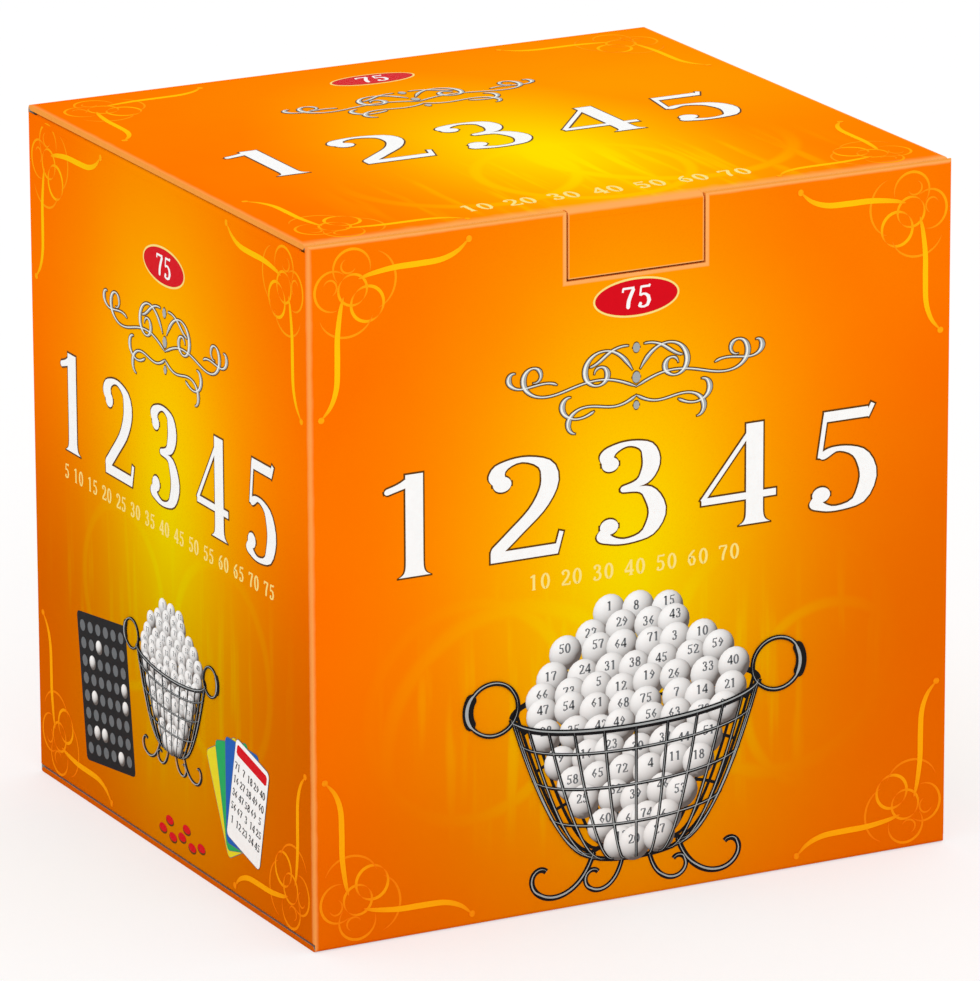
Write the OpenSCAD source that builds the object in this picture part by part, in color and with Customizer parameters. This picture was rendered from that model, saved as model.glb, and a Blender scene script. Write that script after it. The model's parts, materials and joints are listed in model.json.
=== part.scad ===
// Boxed number-drawing game. A folding board carton holds a wire cage on its stand, the
// numbered balls, a master board, four pads of number cards, a folded leaflet and counters.
// The carton is drawn round its contents. Front is -Y, and the origin is the middle of the base.

/* [Board] */
// Thickness of the carton board
board_t = 1.5; // [1:0.1:2]
// Outer radius of a folded crease
crease_r = 1.5; // [0.6:0.1:2]
// Air left between two layers of board that lie on each other
board_gap = 0.2; // [0.1:0.05:0.4]
// Hair of room at the root of a flap that moves
fold_gap = 0.06; // [0.04:0.02:0.1]
// Width of the slit round the lock tab
kerf = 0.6; // [0.4:0.1:1]

/* [Lid and flaps] */
// How far the lid stays inside the faces of the side panels
lid_inset = 0.4; // [0.2:0.1:1]
// Length of the tuck flap
tuck_len = 30; // [28:1:34]
// Lean of the closed tuck flap away from the front panel, in degrees
tuck_lean = 9; // [8:0.5:12]
// Air beside each end of the tuck flap
tuck_side_room = 1.5; // [1:0.5:6]
// Taper of the tuck flap's ends, in degrees
tuck_taper = 5; // [3:1:10]
// Width of the lock tab
tab_w = 42; // [30:1:60]
// Length of the lock tab
tab_len = 19; // [12:1:21]
// Length of each dust flap
dust_len = 70; // [40:1:80]
// Distance from the front and back of the carton to the root of a dust flap
dust_setback = 5; // [4:0.5:10]
// Taper of a dust flap's front edge, in degrees
dust_front_taper = 10; // [8:1:16]
// Taper of a dust flap's rear edge, in degrees
dust_rear_taper = 27; // [27:1:34]
// Length of each inner bottom flap
bottom_len = 72; // [40:1:90]
// Width of the glue flap
glue_w = 15; // [10:1:20]
// Taper of the glue flap's ends, in degrees
glue_taper = 15; // [5:1:30]
// Corner radius of the loose flaps
flap_corner = 8; // [3:1:12]

/* [Drum] */
// Radius of the hoops, to the middle of the wire
hoop_r = 58; // [50:1:64]
// Number of hoops
hoop_count = 9; // [7:2:11]
// Distance between two hoops
hoop_pitch = 12; // [10:0.5:14]
// Diameter of the drum's wire
drum_wire = 1.8; // [1.4:0.1:2.2]
// Number of long bars that tie the hoops
bar_count = 6; // [6:1:8]
// Number of overlapping rings in each end
loop_count = 8; // [8:2:12]
// Gap at a weld, where two wires only touch
weld_gap = 0.05; // [0.02:0.01:0.1]
// Length of the boss on each hub
boss_len = 2.2; // [1:0.1:3]
// Thickness of the strap of a clip
strap_t = 0.7; // [0.5:0.1:1]
// Length of a clip along its bars
strap_w = 4; // [3:0.5:6]
// Height of the finger lip on the hatch latch
lip_h = 1.5; // [1:0.1:3]

/* [Axle and crank] */
// Diameter of the axle's wire
axle_wire = 3; // [2.4:0.1:3.6]
// Throw of the crank
crank_throw = 30; // [24:1:36]
// Bend radius of the crank, to the middle of the wire
crank_bend = 4.5; // [3.5:0.5:6]
// Length of the grip
grip_len = 30; // [24:1:36]
// Largest radius of the grip
grip_r = 6; // [5:0.5:8]
// Thickness of the collars that keep the grip
collar_t = 1.5; // [1:0.1:2]
// Play of a turning piece on its shaft, on the radius
run_gap = 0.08; // [0.04:0.01:0.1]
// Play of a turning piece along its shaft
end_play = 0.3; // [0.2:0.05:0.6]

/* [Stand] */
// Diameter of the stand's wire
frame_wire = 3; // [2.6:0.1:3.6]
// Height of the axle above the carton's floor
axle_h = 115; // [112:1:130]
// Free width between the drum's end and the stand's eye
end_room = 3.9; // [3.2:0.1:6]
// Distance of the front bar in front of the axle
front_reach = 18; // [12:1:20]
// Distance of the rear bar behind the axle
rear_reach = 32; // [26:1:36]
// Air between the drum and the rails of the ball chute
rail_room = 3.3; // [2:0.1:5]
// How far each foot loop spreads past the stand's eye
foot_spread = 18.8; // [14:0.5:22]
// Distance of the foot loops' back behind the axle
foot_back = 56; // [50:1:58]
// Bend radius of the stand, to the middle of the wire
frame_bend = 8; // [6:0.5:9]
// Number of rails in the ball chute
rail_count = 4; // [3:1:5]
// Distance between two rails
rail_pitch = 10; // [8:0.5:11]
// Length of the ball catch in front of the stand
catch_len = 20; // [16:1:24]

/* [Balls] */
// Diameter of a ball
ball_d = 14; // [12:0.5:15]
// Air between two balls at rest
ball_gap = 0.2; // [0.1:0.05:0.4]
// Number of balls in the set
ball_count = 75; // [60:1:75]

/* [Store behind the divider] */
// Height of the divider
divider_h = 150; // [120:1:170]
// Radius of the finger notch in the divider
notch_r = 18; // [10:1:26]
// Distance between two places on the master board
place_pitch = 16; // [15:0.5:17]
// Columns of places on the master board
place_cols = 10; // [8:1:10]
// Rows of places on the master board
place_rows = 8; // [6:1:8]
// Rim round the places
board_rim = 6; // [4:0.5:8]
// Thickness of the master board
master_t = 7; // [6:0.5:8]
// Depth of a place
place_deep = 3.2; // [2:0.1:4]
// Width of a number card
card_w = 128; // [110:1:160]
// Height of a number card
card_h = 168; // [150:1:176]
// Thickness of a number card
card_t = 1.1; // [0.8:0.1:1.3]
// Cards in each pad
pad_cards = 6; // [4:1:8]
// Corner radius of a card
card_corner = 5; // [2:0.5:8]
// Air between two cards of a pad
card_gap = 0.1; // [0.05:0.05:0.2]
// How far every other pad stands to the side
pad_shift = 7; // [0:1:12]
// Width of the folded leaflet
leaflet_w = 105; // [90:1:120]
// Height of the folded leaflet
leaflet_h = 148; // [120:1:160]
// Thickness of one leaf of the leaflet
leaf_t = 0.35; // [0.25:0.05:0.5]
// Air between the leaves
leaf_gap = 0.4; // [0.2:0.05:0.6]

/* [Counters] */
// Diameter of a counter
chip_d = 16; // [14:0.5:18]
// Thickness of a counter
chip_t = 1.3; // [1:0.1:1.6]
// Counters in each of the four stacks
chip_stack = 15; // [10:1:16]
// Wall of the counter tray
tray_wall = 1.2; // [1:0.1:1.6]
// Height of the counter tray
tray_h = 30; // [28:1:36]
// Play of a counter in its pocket
chip_play = 1; // [0.6:0.1:1.6]

/* [Room in the carton] */
// Air between a piece and what it stands or lies against
rest_gap = 0.2; // [0.1:0.05:0.3]
// Air left of the foot loops
left_room = 2; // [1:0.5:6]
// Air right of the crank
right_room = 7.9; // [4:0.05:12]
// Air in front of the drum
front_room = 1.5; // [1:0.5:6]
// Air between the drum and the divider
divider_room = 1.3; // [1:0.1:4]
// Spare depth behind the leaflet
store_room = 8.94; // [4:0.1:16]
// Air above the drum
head_room = 15.37; // [12:0.1:24]
// Air round the counter tray
tray_room = 2; // [1:0.5:4]

/* [Hidden] */
$fn = 48;

// One overrun serves every cut
overrun = 1;
// A rolled bend is a hair thicker than its wire, and the straight runs end just inside it
bend_hair = 0.02;
run_in = 0.1;
// Flat steps in a crease's or a corner's quarter turn
arc_steps = 5;
// Half of the angle inside a square fold, and of the one between the lid and its tuck flap
square_fold = 45;
tuck_fold = (90 - tuck_lean) / 2;

carton_orange = [0.96, 0.52, 0.05];
inner_board = [0.72, 0.70, 0.66];
black_wire = [0.10, 0.10, 0.11];

// The drum, measured from the middle of its axle
drum_half = (hoop_count - 1) / 2 * hoop_pitch;
wire_step = drum_wire + weld_gap;
bar_r = hoop_r + wire_step;
loop_x = [drum_half + wire_step, drum_half + 2 * wire_step];
drum_end = loop_x[1] + drum_wire / 2;
// Rings of one layer clear each other, and all of them reach the end hoop
loop_reach = hoop_r - board_gap;
ring_step = 360 / loop_count;
loop_centre = (loop_reach + (drum_wire + board_gap) / 2) / (1 + sin(ring_step));
loop_r = loop_reach - loop_centre;
hub_r = loop_centre - loop_r - drum_wire / 2 - board_gap;
boss_r = hub_r / 2;
axle_r = axle_wire / 2;
hub_bore = axle_r + run_gap / 4;

// The hatch lies between two neighbouring bars, and its hoops are cut short there
bar_step = 360 / bar_count;
hatch_from = bar_step / 2;
hatch_to = hatch_from + bar_step;
// Angle that one wire takes on a hoop, and the steps from bar to cut end and to the hatch
wire_angle = drum_wire / hoop_r * 180 / PI;
cut_step = wire_angle;
hatch_step = 3 * wire_angle;
hatch_hoops = hoop_count - 4;
hatch_half = (hatch_hoops - 1) / 2 * hoop_pitch + hoop_pitch / 2;
strap_r = drum_wire / 2 + run_gap;
clip_x = (hatch_hoops - 2) / 2 * hoop_pitch;
drum_reach = bar_r + strap_r + strap_t + lip_h;

// The stand, measured from the middle of the axle. Its wire thins as an eye is rolled
eye_wire_share = 0.9;
eye_wire = frame_wire * eye_wire_share;
eye_r = axle_r + run_gap + eye_wire / 2;
frame_step = frame_wire + weld_gap;
front_eye_x = drum_end + end_room + frame_wire / 2;
rear_eye_x = front_eye_x + frame_step;
foot_x = rear_eye_x + foot_spread;
foot_z = -axle_h + frame_wire / 2;
front_bar = [-front_reach, foot_z];
// The chute climbs from the front bar on a line that clears the drum, and the rear bar carries its top
bar_line_r = drum_reach + rail_room + frame_wire / 2 + frame_step;
chute_angle = atan2(-front_bar.y, front_reach) - asin(bar_line_r / norm(front_bar));
rear_bar = front_bar + (front_reach + rear_reach) * [1, tan(chute_angle)];
shelf_bar = rear_bar + [1, -1] * frame_step / sqrt(2);
foot_front = -front_reach - frame_step;
crank_x = rear_eye_x + frame_wire / 2 + end_play + crank_bend;
inner_collar_x = crank_x + crank_bend + end_play;
grip_x = inner_collar_x + collar_t + end_play;
outer_collar_x = grip_x + grip_len + end_play;
crank_end = outer_collar_x + collar_t;

// The counter tray and the store
pocket = chip_d + chip_play;
tray_side = 2 * pocket + 3 * tray_wall;
pad_t = pad_cards * card_t + (pad_cards - 1) * card_gap;
leaflet_t = 2 * leaf_t + leaf_gap;
store_d = 6 * rest_gap + master_t + 4 * pad_t + leaflet_t + store_room;

// The inside of the carton, worked out from what it holds
in_w = left_room + foot_x + frame_wire / 2 + crank_end + right_room;
drum_front = max(front_room + drum_reach, 2 * tray_room + tray_side - foot_front + frame_wire / 2);
in_d = drum_front + drum_reach + divider_room + board_t + store_d;
in_h = rest_gap + axle_h + drum_reach + head_room;
in_x = in_w / 2;
in_y = in_d / 2;
floor_z = 2 * board_t + board_gap;
box_w = in_w + 2 * board_t;
box_d = in_d + 2 * board_t;
box_h = floor_z + in_h + 2 * board_t + board_gap;
side_low = board_t + board_gap;
side_high = box_h - board_t - board_gap;
stand_z = floor_z + rest_gap;

// Where the cage, the divider and the stored goods are
drum_x = -in_x + left_room + frame_wire / 2 + foot_x;
drum_y = -in_y + drum_front;
axle_z = stand_z + axle_h;
divider_y = drum_y + drum_reach + divider_room;
store_y = divider_y + board_t + rest_gap;
pads_y = store_y + master_t + rest_gap;
leaflet_y = pads_y + 4 * (pad_t + rest_gap);
tray_x = in_x - tray_room - tray_side;
tray_y = -in_y + tray_room;

// The lid and its flaps
lid_w = box_w - 2 * lid_inset;
lid_front = -box_d / 2 + board_t + board_gap;
tuck_w = in_w - 2 * tuck_side_room;
// The hole that the lock tab is cut from reaches past the tab's swing
tab_hole_len = tab_len + board_t + board_gap + kerf;
dust_root = box_d - 2 * dust_setback;
shoulder = board_t + board_gap / 2;

echo(outside_of_the_carton = [box_w, box_d, box_h]);

function unit(v) = v / norm(v);

// Points of an arc round a centre, from one angle to another
function arc_points(centre, r, from, to) = [
    for (i = [0 : arc_steps])
        let (a = from + (to - from) * i / arc_steps)
            centre + r * [cos(a), sin(a)]
];

// An outline with its corners rounded, each by the radius of the same place in radii
function rounded_outline(points, radii) = [
    for (i = [0 : len(points) - 1])
        let (
            b = points[i],
            u = unit(points[(i + len(points) - 1) % len(points)] - b),
            v = unit(points[(i + 1) % len(points)] - b),
            half = acos(u * v) / 2,
            middle = b + unit(u + v) * radii[i] / sin(half),
            start = b + u * radii[i] / tan(half) - middle,
            from = atan2(start.y, start.x),
            turn = sign(cross(v, u)) * (180 - 2 * half)
        )
            each (radii[i] == 0 ? [b] : arc_points(middle, radii[i], from, from + turn))
];

// The end of a board's section, from its inner skin to its outer one. The board runs along +x
// with its outer skin on y = 0. half is half of the angle inside the fold, or 0 at a cut edge.
function board_end(half) = half == 0
    ? [[0, -board_t], [0, 0]]
    : concat(
        [[board_t / tan(half), -board_t]],
        arc_points([crease_r / tan(half), -crease_r], crease_r, 180 - half, 90)
    );

function board_section(length, start, end) = let (tail = board_end(end)) concat(
    board_end(start),
    [for (i = [len(tail) - 1 : -1 : 0]) [length - tail[i].x, tail[i].y]]
);

// A rectangle of board with its outer skin up on z = 0, folded or cut on each of its four edges
module creased_board(w, h, left = 0, right = 0, near = 0, far = 0) {
    intersection() {
        translate([0, h, 0]) rotate([90, 0, 0])
            linear_extrude(h) polygon(board_section(w, left, right));
        rotate([90, 0, 90])
            linear_extrude(w) polygon(board_section(h, near, far));
    }
}

// A prism that trims a board to an outline
module outline_prism(points) {
    translate([0, 0, -board_t - overrun]) linear_extrude(board_t + 2 * overrun) polygon(points);
}

// The waste outside a rounded corner at the origin
module corner_waste(r, h) {
    difference() {
        translate([-overrun, -overrun, -overrun]) cube([r + overrun, r + overrun, h + 2 * overrun]);
        translate([r, r, -2 * overrun]) cylinder(r = r, h = h + 4 * overrun);
    }
}

module rounded_slab(w, h, t, r) {
    difference() {
        cube([w, h, t]);
        for (x = [0, 1], y = [0, 1])
            translate([x * w, y * h, 0]) mirror([x, 0, 0]) mirror([0, y, 0]) corner_waste(r, t);
    }
}

// A round rod from one point to another
module rod(a, b, r) {
    v = b - a;
    translate(a) rotate([0, acos(v.z / norm(v)), atan2(v.y, v.x)]) cylinder(h = norm(v), r = r);
}

function corner_turn(a, b, c) = acos(unit(b - a) * unit(c - b));
function corner_trim(path, i, bend) = i == 0 || i == len(path) - 1
    ? 0
    : bend * tan(corner_turn(path[i - 1], path[i], path[i + 1]) / 2) - run_in;

// One rolled corner of a wire, from the end of the straight run before it
module wire_corner(a, b, c, r, bend) {
    u = unit(b - a);
    v = unit(c - b);
    turn = corner_turn(a, b, c);
    start = b - u * bend * tan(turn / 2);
    axis = unit(cross(u, v));
    out = -cross(axis, u);
    middle = start - out * bend;
    side = cross(axis, out);
    multmatrix([
        [out.x, side.x, axis.x, middle.x],
        [out.y, side.y, axis.y, middle.y],
        [out.z, side.z, axis.z, middle.z],
        [0, 0, 0, 1]
    ])
        rotate_extrude(angle = turn) translate([bend, 0]) circle(r = r + bend_hair);
}

// A wire bent along a path of straight runs
module bent_wire(path, r, bend) {
    last = len(path) - 1;
    for (i = [0 : last - 1]) {
        along = unit(path[i + 1] - path[i]);
        rod(
            path[i] + along * corner_trim(path, i, bend),
            path[i + 1] - along * corner_trim(path, i + 1, bend),
            r
        );
    }
    for (i = [1 : 1 : last - 1])
        wire_corner(path[i - 1], path[i], path[i + 1], r, bend);
}

// A ring of wire round the axle's line
module ring(x, major, minor) {
    translate([x, 0, 0]) rotate([0, 90, 0]) rotate_extrude() translate([major, 0]) circle(r = minor);
}

// Part of such a ring. Angles start at the top and go forward
module ring_part(x, major, minor, from, to) {
    translate([x, 0, 0]) rotate([from - 180, 0, 0]) rotate([0, 90, 0])
        rotate_extrude(angle = to - from) translate([major, 0]) circle(r = minor);
}

// The point at an angle on such a ring, as [y, z]
function on_ring(a, r) = [-r * sin(a), r * cos(a)];

module at_drum() translate([drum_x, drum_y, axle_z]) children();

// The carton's walls
module front_panel() {
    color(carton_orange) difference() {
        translate([-box_w / 2, -box_d / 2, 0]) rotate([90, 0, 0])
            creased_board(box_w, box_h, square_fold, square_fold, square_fold, 0);
        translate([-tab_w / 2 - kerf, -box_d / 2 - overrun, box_h - tab_len - kerf])
            cube([tab_w + 2 * kerf, board_t + 2 * overrun, tab_len + kerf + overrun]);
    }
}

module back_panel() {
    color(carton_orange) translate([box_w / 2, box_d / 2, 0]) rotate([90, 0, 180])
        creased_board(box_w, box_h, square_fold, square_fold, square_fold, square_fold);
}

// A side has a shoulder at its front top corner, which closes the corner in front of the lid
module side_wall() {
    translate([box_w / 2, -box_d / 2, 0]) rotate([90, 0, 90]) {
        translate([0, side_low, 0])
            creased_board(box_d, side_high - side_low, square_fold, square_fold, square_fold, square_fold);
        intersection() {
            creased_board(box_d, box_h, square_fold, square_fold, 0, 0);
            translate([0, side_high - board_t, -board_t]) cube([shoulder, box_h - side_high + board_t, board_t]);
        }
    }
}

module right_panel() {
    color(carton_orange) side_wall();
}

module left_panel() {
    color(carton_orange) mirror([1, 0, 0]) side_wall();
}

// The glue flap runs on from the left panel and is stuck inside the back panel
module glue_flap() {
    low = side_low + board_t + board_gap;
    high = side_high - board_t - board_gap;
    rise = glue_w * tan(glue_taper);
    color(inner_board) translate([-in_x, in_y, 0]) rotate([90, 0, 0])
        linear_extrude(board_t)
            polygon([[0, low], [glue_w, low + rise], [glue_w, high - rise], [0, high]]);
}

// The bottom has two outer flaps that meet and two inner ones under the goods
module bottom_outer() {
    translate([-lid_w / 2, -board_gap / 2, 0]) rotate([180, 0, 0])
        creased_board(lid_w, (box_d - board_gap) / 2, 0, 0, 0, square_fold);
}

module bottom_flap_front() {
    color(carton_orange) bottom_outer();
}

module bottom_flap_back() {
    color(carton_orange) mirror([0, 1, 0]) bottom_outer();
}

module bottom_inner() {
    flap_w = in_d - 2 * board_gap;
    corner_radii = [0, flap_corner, flap_corner, 0];
    translate([-box_w / 2, flap_w / 2, side_low]) rotate([180, 0, 0])
        intersection() {
            creased_board(bottom_len, flap_w, square_fold, 0, 0, 0);
            outline_prism(rounded_outline(
                [[-overrun, 0], [bottom_len, 0], [bottom_len, flap_w], [-overrun, flap_w]],
                corner_radii
            ));
        }
}

module bottom_flap_left() {
    color(inner_board) bottom_inner();
}

module bottom_flap_right() {
    color(inner_board) mirror([1, 0, 0]) bottom_inner();
}

// The lid, with the root of the lock tab reaching into the front panel's notch
module lid_panel() {
    color(carton_orange) {
        translate([-lid_w / 2, lid_front, box_h])
            creased_board(lid_w, box_d / 2 - lid_front - fold_gap, 0, 0, tuck_fold, square_fold);
        translate([-tab_w / 2, -box_d / 2, box_h])
            creased_board(tab_w, 4 * board_t, 0, 0, square_fold, 0);
    }
}

module tuck_flap() {
    slope = tuck_len * tan(tuck_taper);
    color(inner_board) translate([0, lid_front, box_h]) rotate([90 + tuck_lean, 0, 0])
        translate([-tuck_w / 2, -tuck_len, 0]) difference() {
            intersection() {
                creased_board(tuck_w, tuck_len - fold_gap, 0, 0, 0, tuck_fold);
                outline_prism(rounded_outline(
                    [[slope, 0], [tuck_w - slope, 0], [tuck_w, tuck_len + overrun], [0, tuck_len + overrun]],
                    [flap_corner, flap_corner, 0, 0]
                ));
            }
            translate([(tuck_w - tab_w) / 2 - kerf, tuck_len - tab_hole_len, -board_t - overrun])
                cube([tab_w + 2 * kerf, tab_hole_len + overrun, board_t + 2 * overrun]);
        }
}

module lock_tab() {
    color(carton_orange) translate([-tab_w / 2, -box_d / 2, box_h]) rotate([90, 0, 0])
        translate([0, -tab_len, 0]) creased_board(tab_w, tab_len - fold_gap, 0, 0, 0, square_fold);
}

// A dust flap's rear edge tapers enough to rise ahead of the lid
module dust_flap() {
    near = dust_len * tan(dust_front_taper);
    far = dust_root - dust_len * tan(dust_rear_taper);
    translate([-box_w / 2, -dust_root / 2, side_high]) intersection() {
        translate([fold_gap, 0, 0]) creased_board(dust_len - fold_gap, dust_root, square_fold, 0, 0, 0);
        outline_prism(rounded_outline(
            [[0, 0], [dust_len, near], [dust_len, far], [0, dust_root]],
            [0, flap_corner, flap_corner, 0]
        ));
    }
}

module dust_flap_left() {
    color(inner_board) dust_flap();
}

module dust_flap_right() {
    color(inner_board) mirror([1, 0, 0]) dust_flap();
}

// The drum's hoops, with those under the hatch cut short behind the bars beside it
module drum_hoops() {
    color(black_wire) at_drum() for (i = [0 : hoop_count - 1]) {
        x = -drum_half + i * hoop_pitch;
        if (abs(x) < hatch_half)
            ring_part(x, hoop_r, drum_wire / 2, hatch_to - cut_step, hatch_from + cut_step + 360);
        else
            ring(x, hoop_r, drum_wire / 2);
    }
}

module drum_bars() {
    color(black_wire) at_drum() for (i = [0 : bar_count - 1]) {
        p = on_ring(hatch_from + i * bar_step, bar_r);
        rod([-drum_half - drum_wire, p.x, p.y], [drum_half + drum_wire, p.x, p.y], drum_wire / 2);
    }
}

// Each end is a rosette of overlapping rings, alternately in an inner and an outer layer
module end_loops(side) {
    color(black_wire) at_drum() for (i = [0 : loop_count - 1]) {
        p = on_ring((i + 0.5) * ring_step, loop_centre);
        translate([0, p.x, p.y]) ring(side * loop_x[i % 2], loop_r, drum_wire / 2);
    }
}

module end_loops_left() {
    end_loops(-1);
}

module end_loops_right() {
    end_loops(1);
}

// A hub fills the middle of the rosette and has a boss on the outside
module hub(side) {
    inner = loop_x[0] - drum_wire / 2;
    color(black_wire) at_drum() rotate([0, side * 90, 0]) rotate_extrude() polygon([
        [hub_bore, inner], [hub_r, inner], [hub_r, drum_end], [boss_r, drum_end],
        [boss_r, drum_end + boss_len], [hub_bore, drum_end + boss_len]
    ]);
}

module hub_left() {
    hub(-1);
}

module hub_right() {
    hub(1);
}

// The hatch is a frame of two bars and two arcs, with its own cross wires on the outside
module hatch_panel() {
    edges = [hatch_from + hatch_step, hatch_to - hatch_step];
    color(black_wire) at_drum() {
        for (a = edges) {
            p = on_ring(a, hoop_r);
            rod([-hatch_half, p.x, p.y], [hatch_half, p.x, p.y], drum_wire / 2);
            for (x = [-hatch_half, hatch_half])
                translate([x, p.x, p.y]) sphere(r = drum_wire / 2 + weld_gap);
        }
        for (x = [-hatch_half, hatch_half])
            ring_part(x, hoop_r, drum_wire / 2, edges[0], edges[1]);
        for (i = [0 : hatch_hoops - 1]) {
            x = (i - (hatch_hoops - 1) / 2) * hoop_pitch;
            ring_part(
                x, hoop_r + drum_wire - weld_gap, drum_wire / 2,
                edges[0] - wire_angle / 2, edges[1] + wire_angle / 2
            );
        }
    }
}

// The outline of a strap round two bars
function strap_outline(p, q, r) = let (a = atan2(q.y - p.y, q.x - p.x)) concat(
    arc_points(p, r, a + 90, a + 270),
    arc_points(q, r, a - 90, a + 90)
);

module strap(x, p, q) {
    translate([x - strap_w / 2, 0, 0]) rotate([90, 0, 90]) difference() {
        linear_extrude(strap_w) polygon(strap_outline(p, q, strap_r + strap_t));
        translate([0, 0, -overrun]) linear_extrude(strap_w + 2 * overrun)
            polygon(strap_outline(p, q, strap_r));
    }
}

module hatch_clips() {
    color(black_wire) at_drum() for (x = [-clip_x, clip_x])
        strap(x, on_ring(hatch_to, bar_r), on_ring(hatch_to - hatch_step, hoop_r));
}

// The latch is a strap round the hatch's upper bar with a finger lip
module hatch_latch() {
    x = hoop_pitch / 2;
    p = on_ring(hatch_from, bar_r);
    q = on_ring(hatch_from + hatch_step, hoop_r);
    color(black_wire) at_drum() {
        strap(x, p, q);
        translate([x - strap_w / 2, 0, 0]) rotate([hatch_from, 0, 0])
            translate([0, -strap_t / 2, bar_r + strap_r + strap_t / 2])
                cube([strap_w, strap_t, strap_t / 2 + lip_h]);
    }
}

// The axle and the crank are one bent wire, with a collar at each end of the grip
module axle_crank() {
    tail = -rear_eye_x - frame_wire / 2 - 2 * axle_wire;
    color(black_wire) at_drum() {
        bent_wire(
            [[tail, 0, 0], [crank_x, 0, 0], [crank_x, 0, -crank_throw], [crank_end, 0, -crank_throw]],
            axle_r, crank_bend
        );
        for (x = [inner_collar_x, outer_collar_x])
            translate([x, 0, -crank_throw]) rotate([0, 90, 0]) cylinder(r = axle_wire, h = collar_t);
    }
}

// The grip turns on the crank. Its sides swell in the middle and are drawn in at the ends
module grip() {
    sides = 8;
    end_share = 0.8;
    profile = [
        for (i = [0 : sides])
            [grip_r * (end_share + (1 - end_share) * sin(180 * i / sides)), grip_len * i / sides]
    ];
    color(black_wire) at_drum() translate([grip_x, 0, -crank_throw]) rotate([0, 90, 0])
        rotate_extrude() polygon(concat(
            [[axle_r + run_gap, 0]], profile, [[axle_r + run_gap, grip_len]]
        ));
}

// A leg starts inside the ring of its eye, clear of the axle
module stand_frame(eye_x, bar) {
    start_share = 0.75;
    start = unit(bar) * eye_r * start_share;
    color(black_wire) at_drum() {
        for (x = [-eye_x, eye_x])
            ring(x, eye_r, eye_wire / 2);
        bent_wire(
            [
                [-eye_x, start.x, start.y], [-eye_x, bar.x, bar.y],
                [eye_x, bar.x, bar.y], [eye_x, start.x, start.y]
            ],
            frame_wire / 2, frame_bend
        );
    }
}

module front_frame() {
    stand_frame(front_eye_x, front_bar);
}

module rear_frame() {
    stand_frame(rear_eye_x, rear_bar);
}

// A foot loop is welded along the rear bar and the front bar and spreads on the floor between
module foot_loop(side) {
    inner_share = 0.4;
    front_share = 0.65;
    shoulder_share = 0.95;
    color(black_wire) at_drum() bent_wire(
        [
            [side * foot_x * inner_share, shelf_bar.x, shelf_bar.y],
            [side * foot_x * shoulder_share, shelf_bar.x, shelf_bar.y],
            [side * foot_x, foot_back, foot_z],
            [side * foot_x, foot_front, foot_z],
            [side * foot_x * front_share, foot_front, foot_z]
        ],
        frame_wire / 2, frame_bend
    );
}

module foot_loop_left() {
    foot_loop(-1);
}

module foot_loop_right() {
    foot_loop(1);
}

// The rails lie on the rear and the front bar
module chute_rails() {
    along = [cos(chute_angle), sin(chute_angle)];
    up = [-along.y, along.x] * frame_step;
    top = rear_bar + up + along * frame_wire;
    low = front_bar + up - along * frame_wire / 2;
    color(black_wire) at_drum() for (i = [0 : rail_count - 1]) {
        x = (i - (rail_count - 1) / 2) * rail_pitch;
        rod([x, low.x, low.y], [x, top.x, top.y], frame_wire / 2);
    }
}

// The catch lies on the front bar, round the foot of the rails
module ball_catch() {
    x = (rail_count - 1) / 2 * rail_pitch + 2 * frame_wire;
    back = -front_reach + frame_wire;
    front = -front_reach - catch_len;
    z = foot_z + frame_step;
    color(black_wire) at_drum()
        bent_wire([[-x, back, z], [-x, front, z], [x, front, z], [x, back, z]], frame_wire / 2, frame_bend);
}

// Balls lie in rows along the drum, each row in a hollow of the rows below it
ball_step = ball_d + ball_gap;
ball_limit = hoop_r - drum_wire / 2 - ball_d / 2 - 2 * ball_gap;
ball_cols = floor((2 * (drum_half - drum_wire) - ball_gap) / ball_step);
row_step = ball_step * sin(60);
lowest_row = -sqrt(pow(ball_limit, 2) - pow(ball_step / 2, 2));
ball_places = [
    for (row = [0 : 3], col = [-3 : 3], i = [0 : ball_cols - 1])
        let (
            y = (col + (row % 2 == 0 ? 0.5 : 0)) * ball_step,
            z = lowest_row + row * row_step
        )
            if (norm([y, z]) <= ball_limit + ball_gap / 10)
                [(i - (ball_cols - 1) / 2) * ball_step, y, z]
];

module balls() {
    color("white") at_drum() for (i = [0 : min(ball_count, len(ball_places)) - 1])
        translate(ball_places[i]) sphere(r = ball_d / 2);
}

// The divider is a folded board whose wings reach back to the carton's rear
module insert_divider() {
    wing_end = in_y - board_t - rest_gap;
    side = in_x - rest_gap;
    color(inner_board) difference() {
        translate([-side, divider_y, stand_z]) cube([2 * side, wing_end - divider_y, divider_h]);
        translate([-side + board_t, divider_y + board_t, stand_z - overrun])
            cube([2 * (side - board_t), wing_end - divider_y, divider_h + 2 * overrun]);
        for (x = [0, 1])
            translate([(x * 2 - 1) * side, divider_y, stand_z]) mirror([x, 0, 0])
                corner_waste(crease_r, divider_h);
        translate([0, divider_y - overrun, stand_z + divider_h]) rotate([-90, 0, 0])
            cylinder(r = notch_r, h = board_t + 2 * overrun);
    }
}

// The master board stands on edge with its places to the front. The last row is a short one
module master_board() {
    w = place_cols * place_pitch + 2 * board_rim;
    h = place_rows * place_pitch + 2 * board_rim;
    place_sphere = ball_d / 2 + ball_gap;
    color([0.13, 0.13, 0.16]) translate([-w / 2, store_y + master_t, stand_z]) rotate([90, 0, 0])
        difference() {
            rounded_slab(w, h, master_t, board_rim);
            for (i = [0 : min(ball_count, place_cols * place_rows) - 1])
                translate([
                    board_rim + (i % place_cols + 0.5) * place_pitch,
                    h - board_rim - (floor(i / place_cols) + 0.5) * place_pitch,
                    master_t - place_deep + place_sphere
                ]) sphere(r = place_sphere);
        }
}

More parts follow.
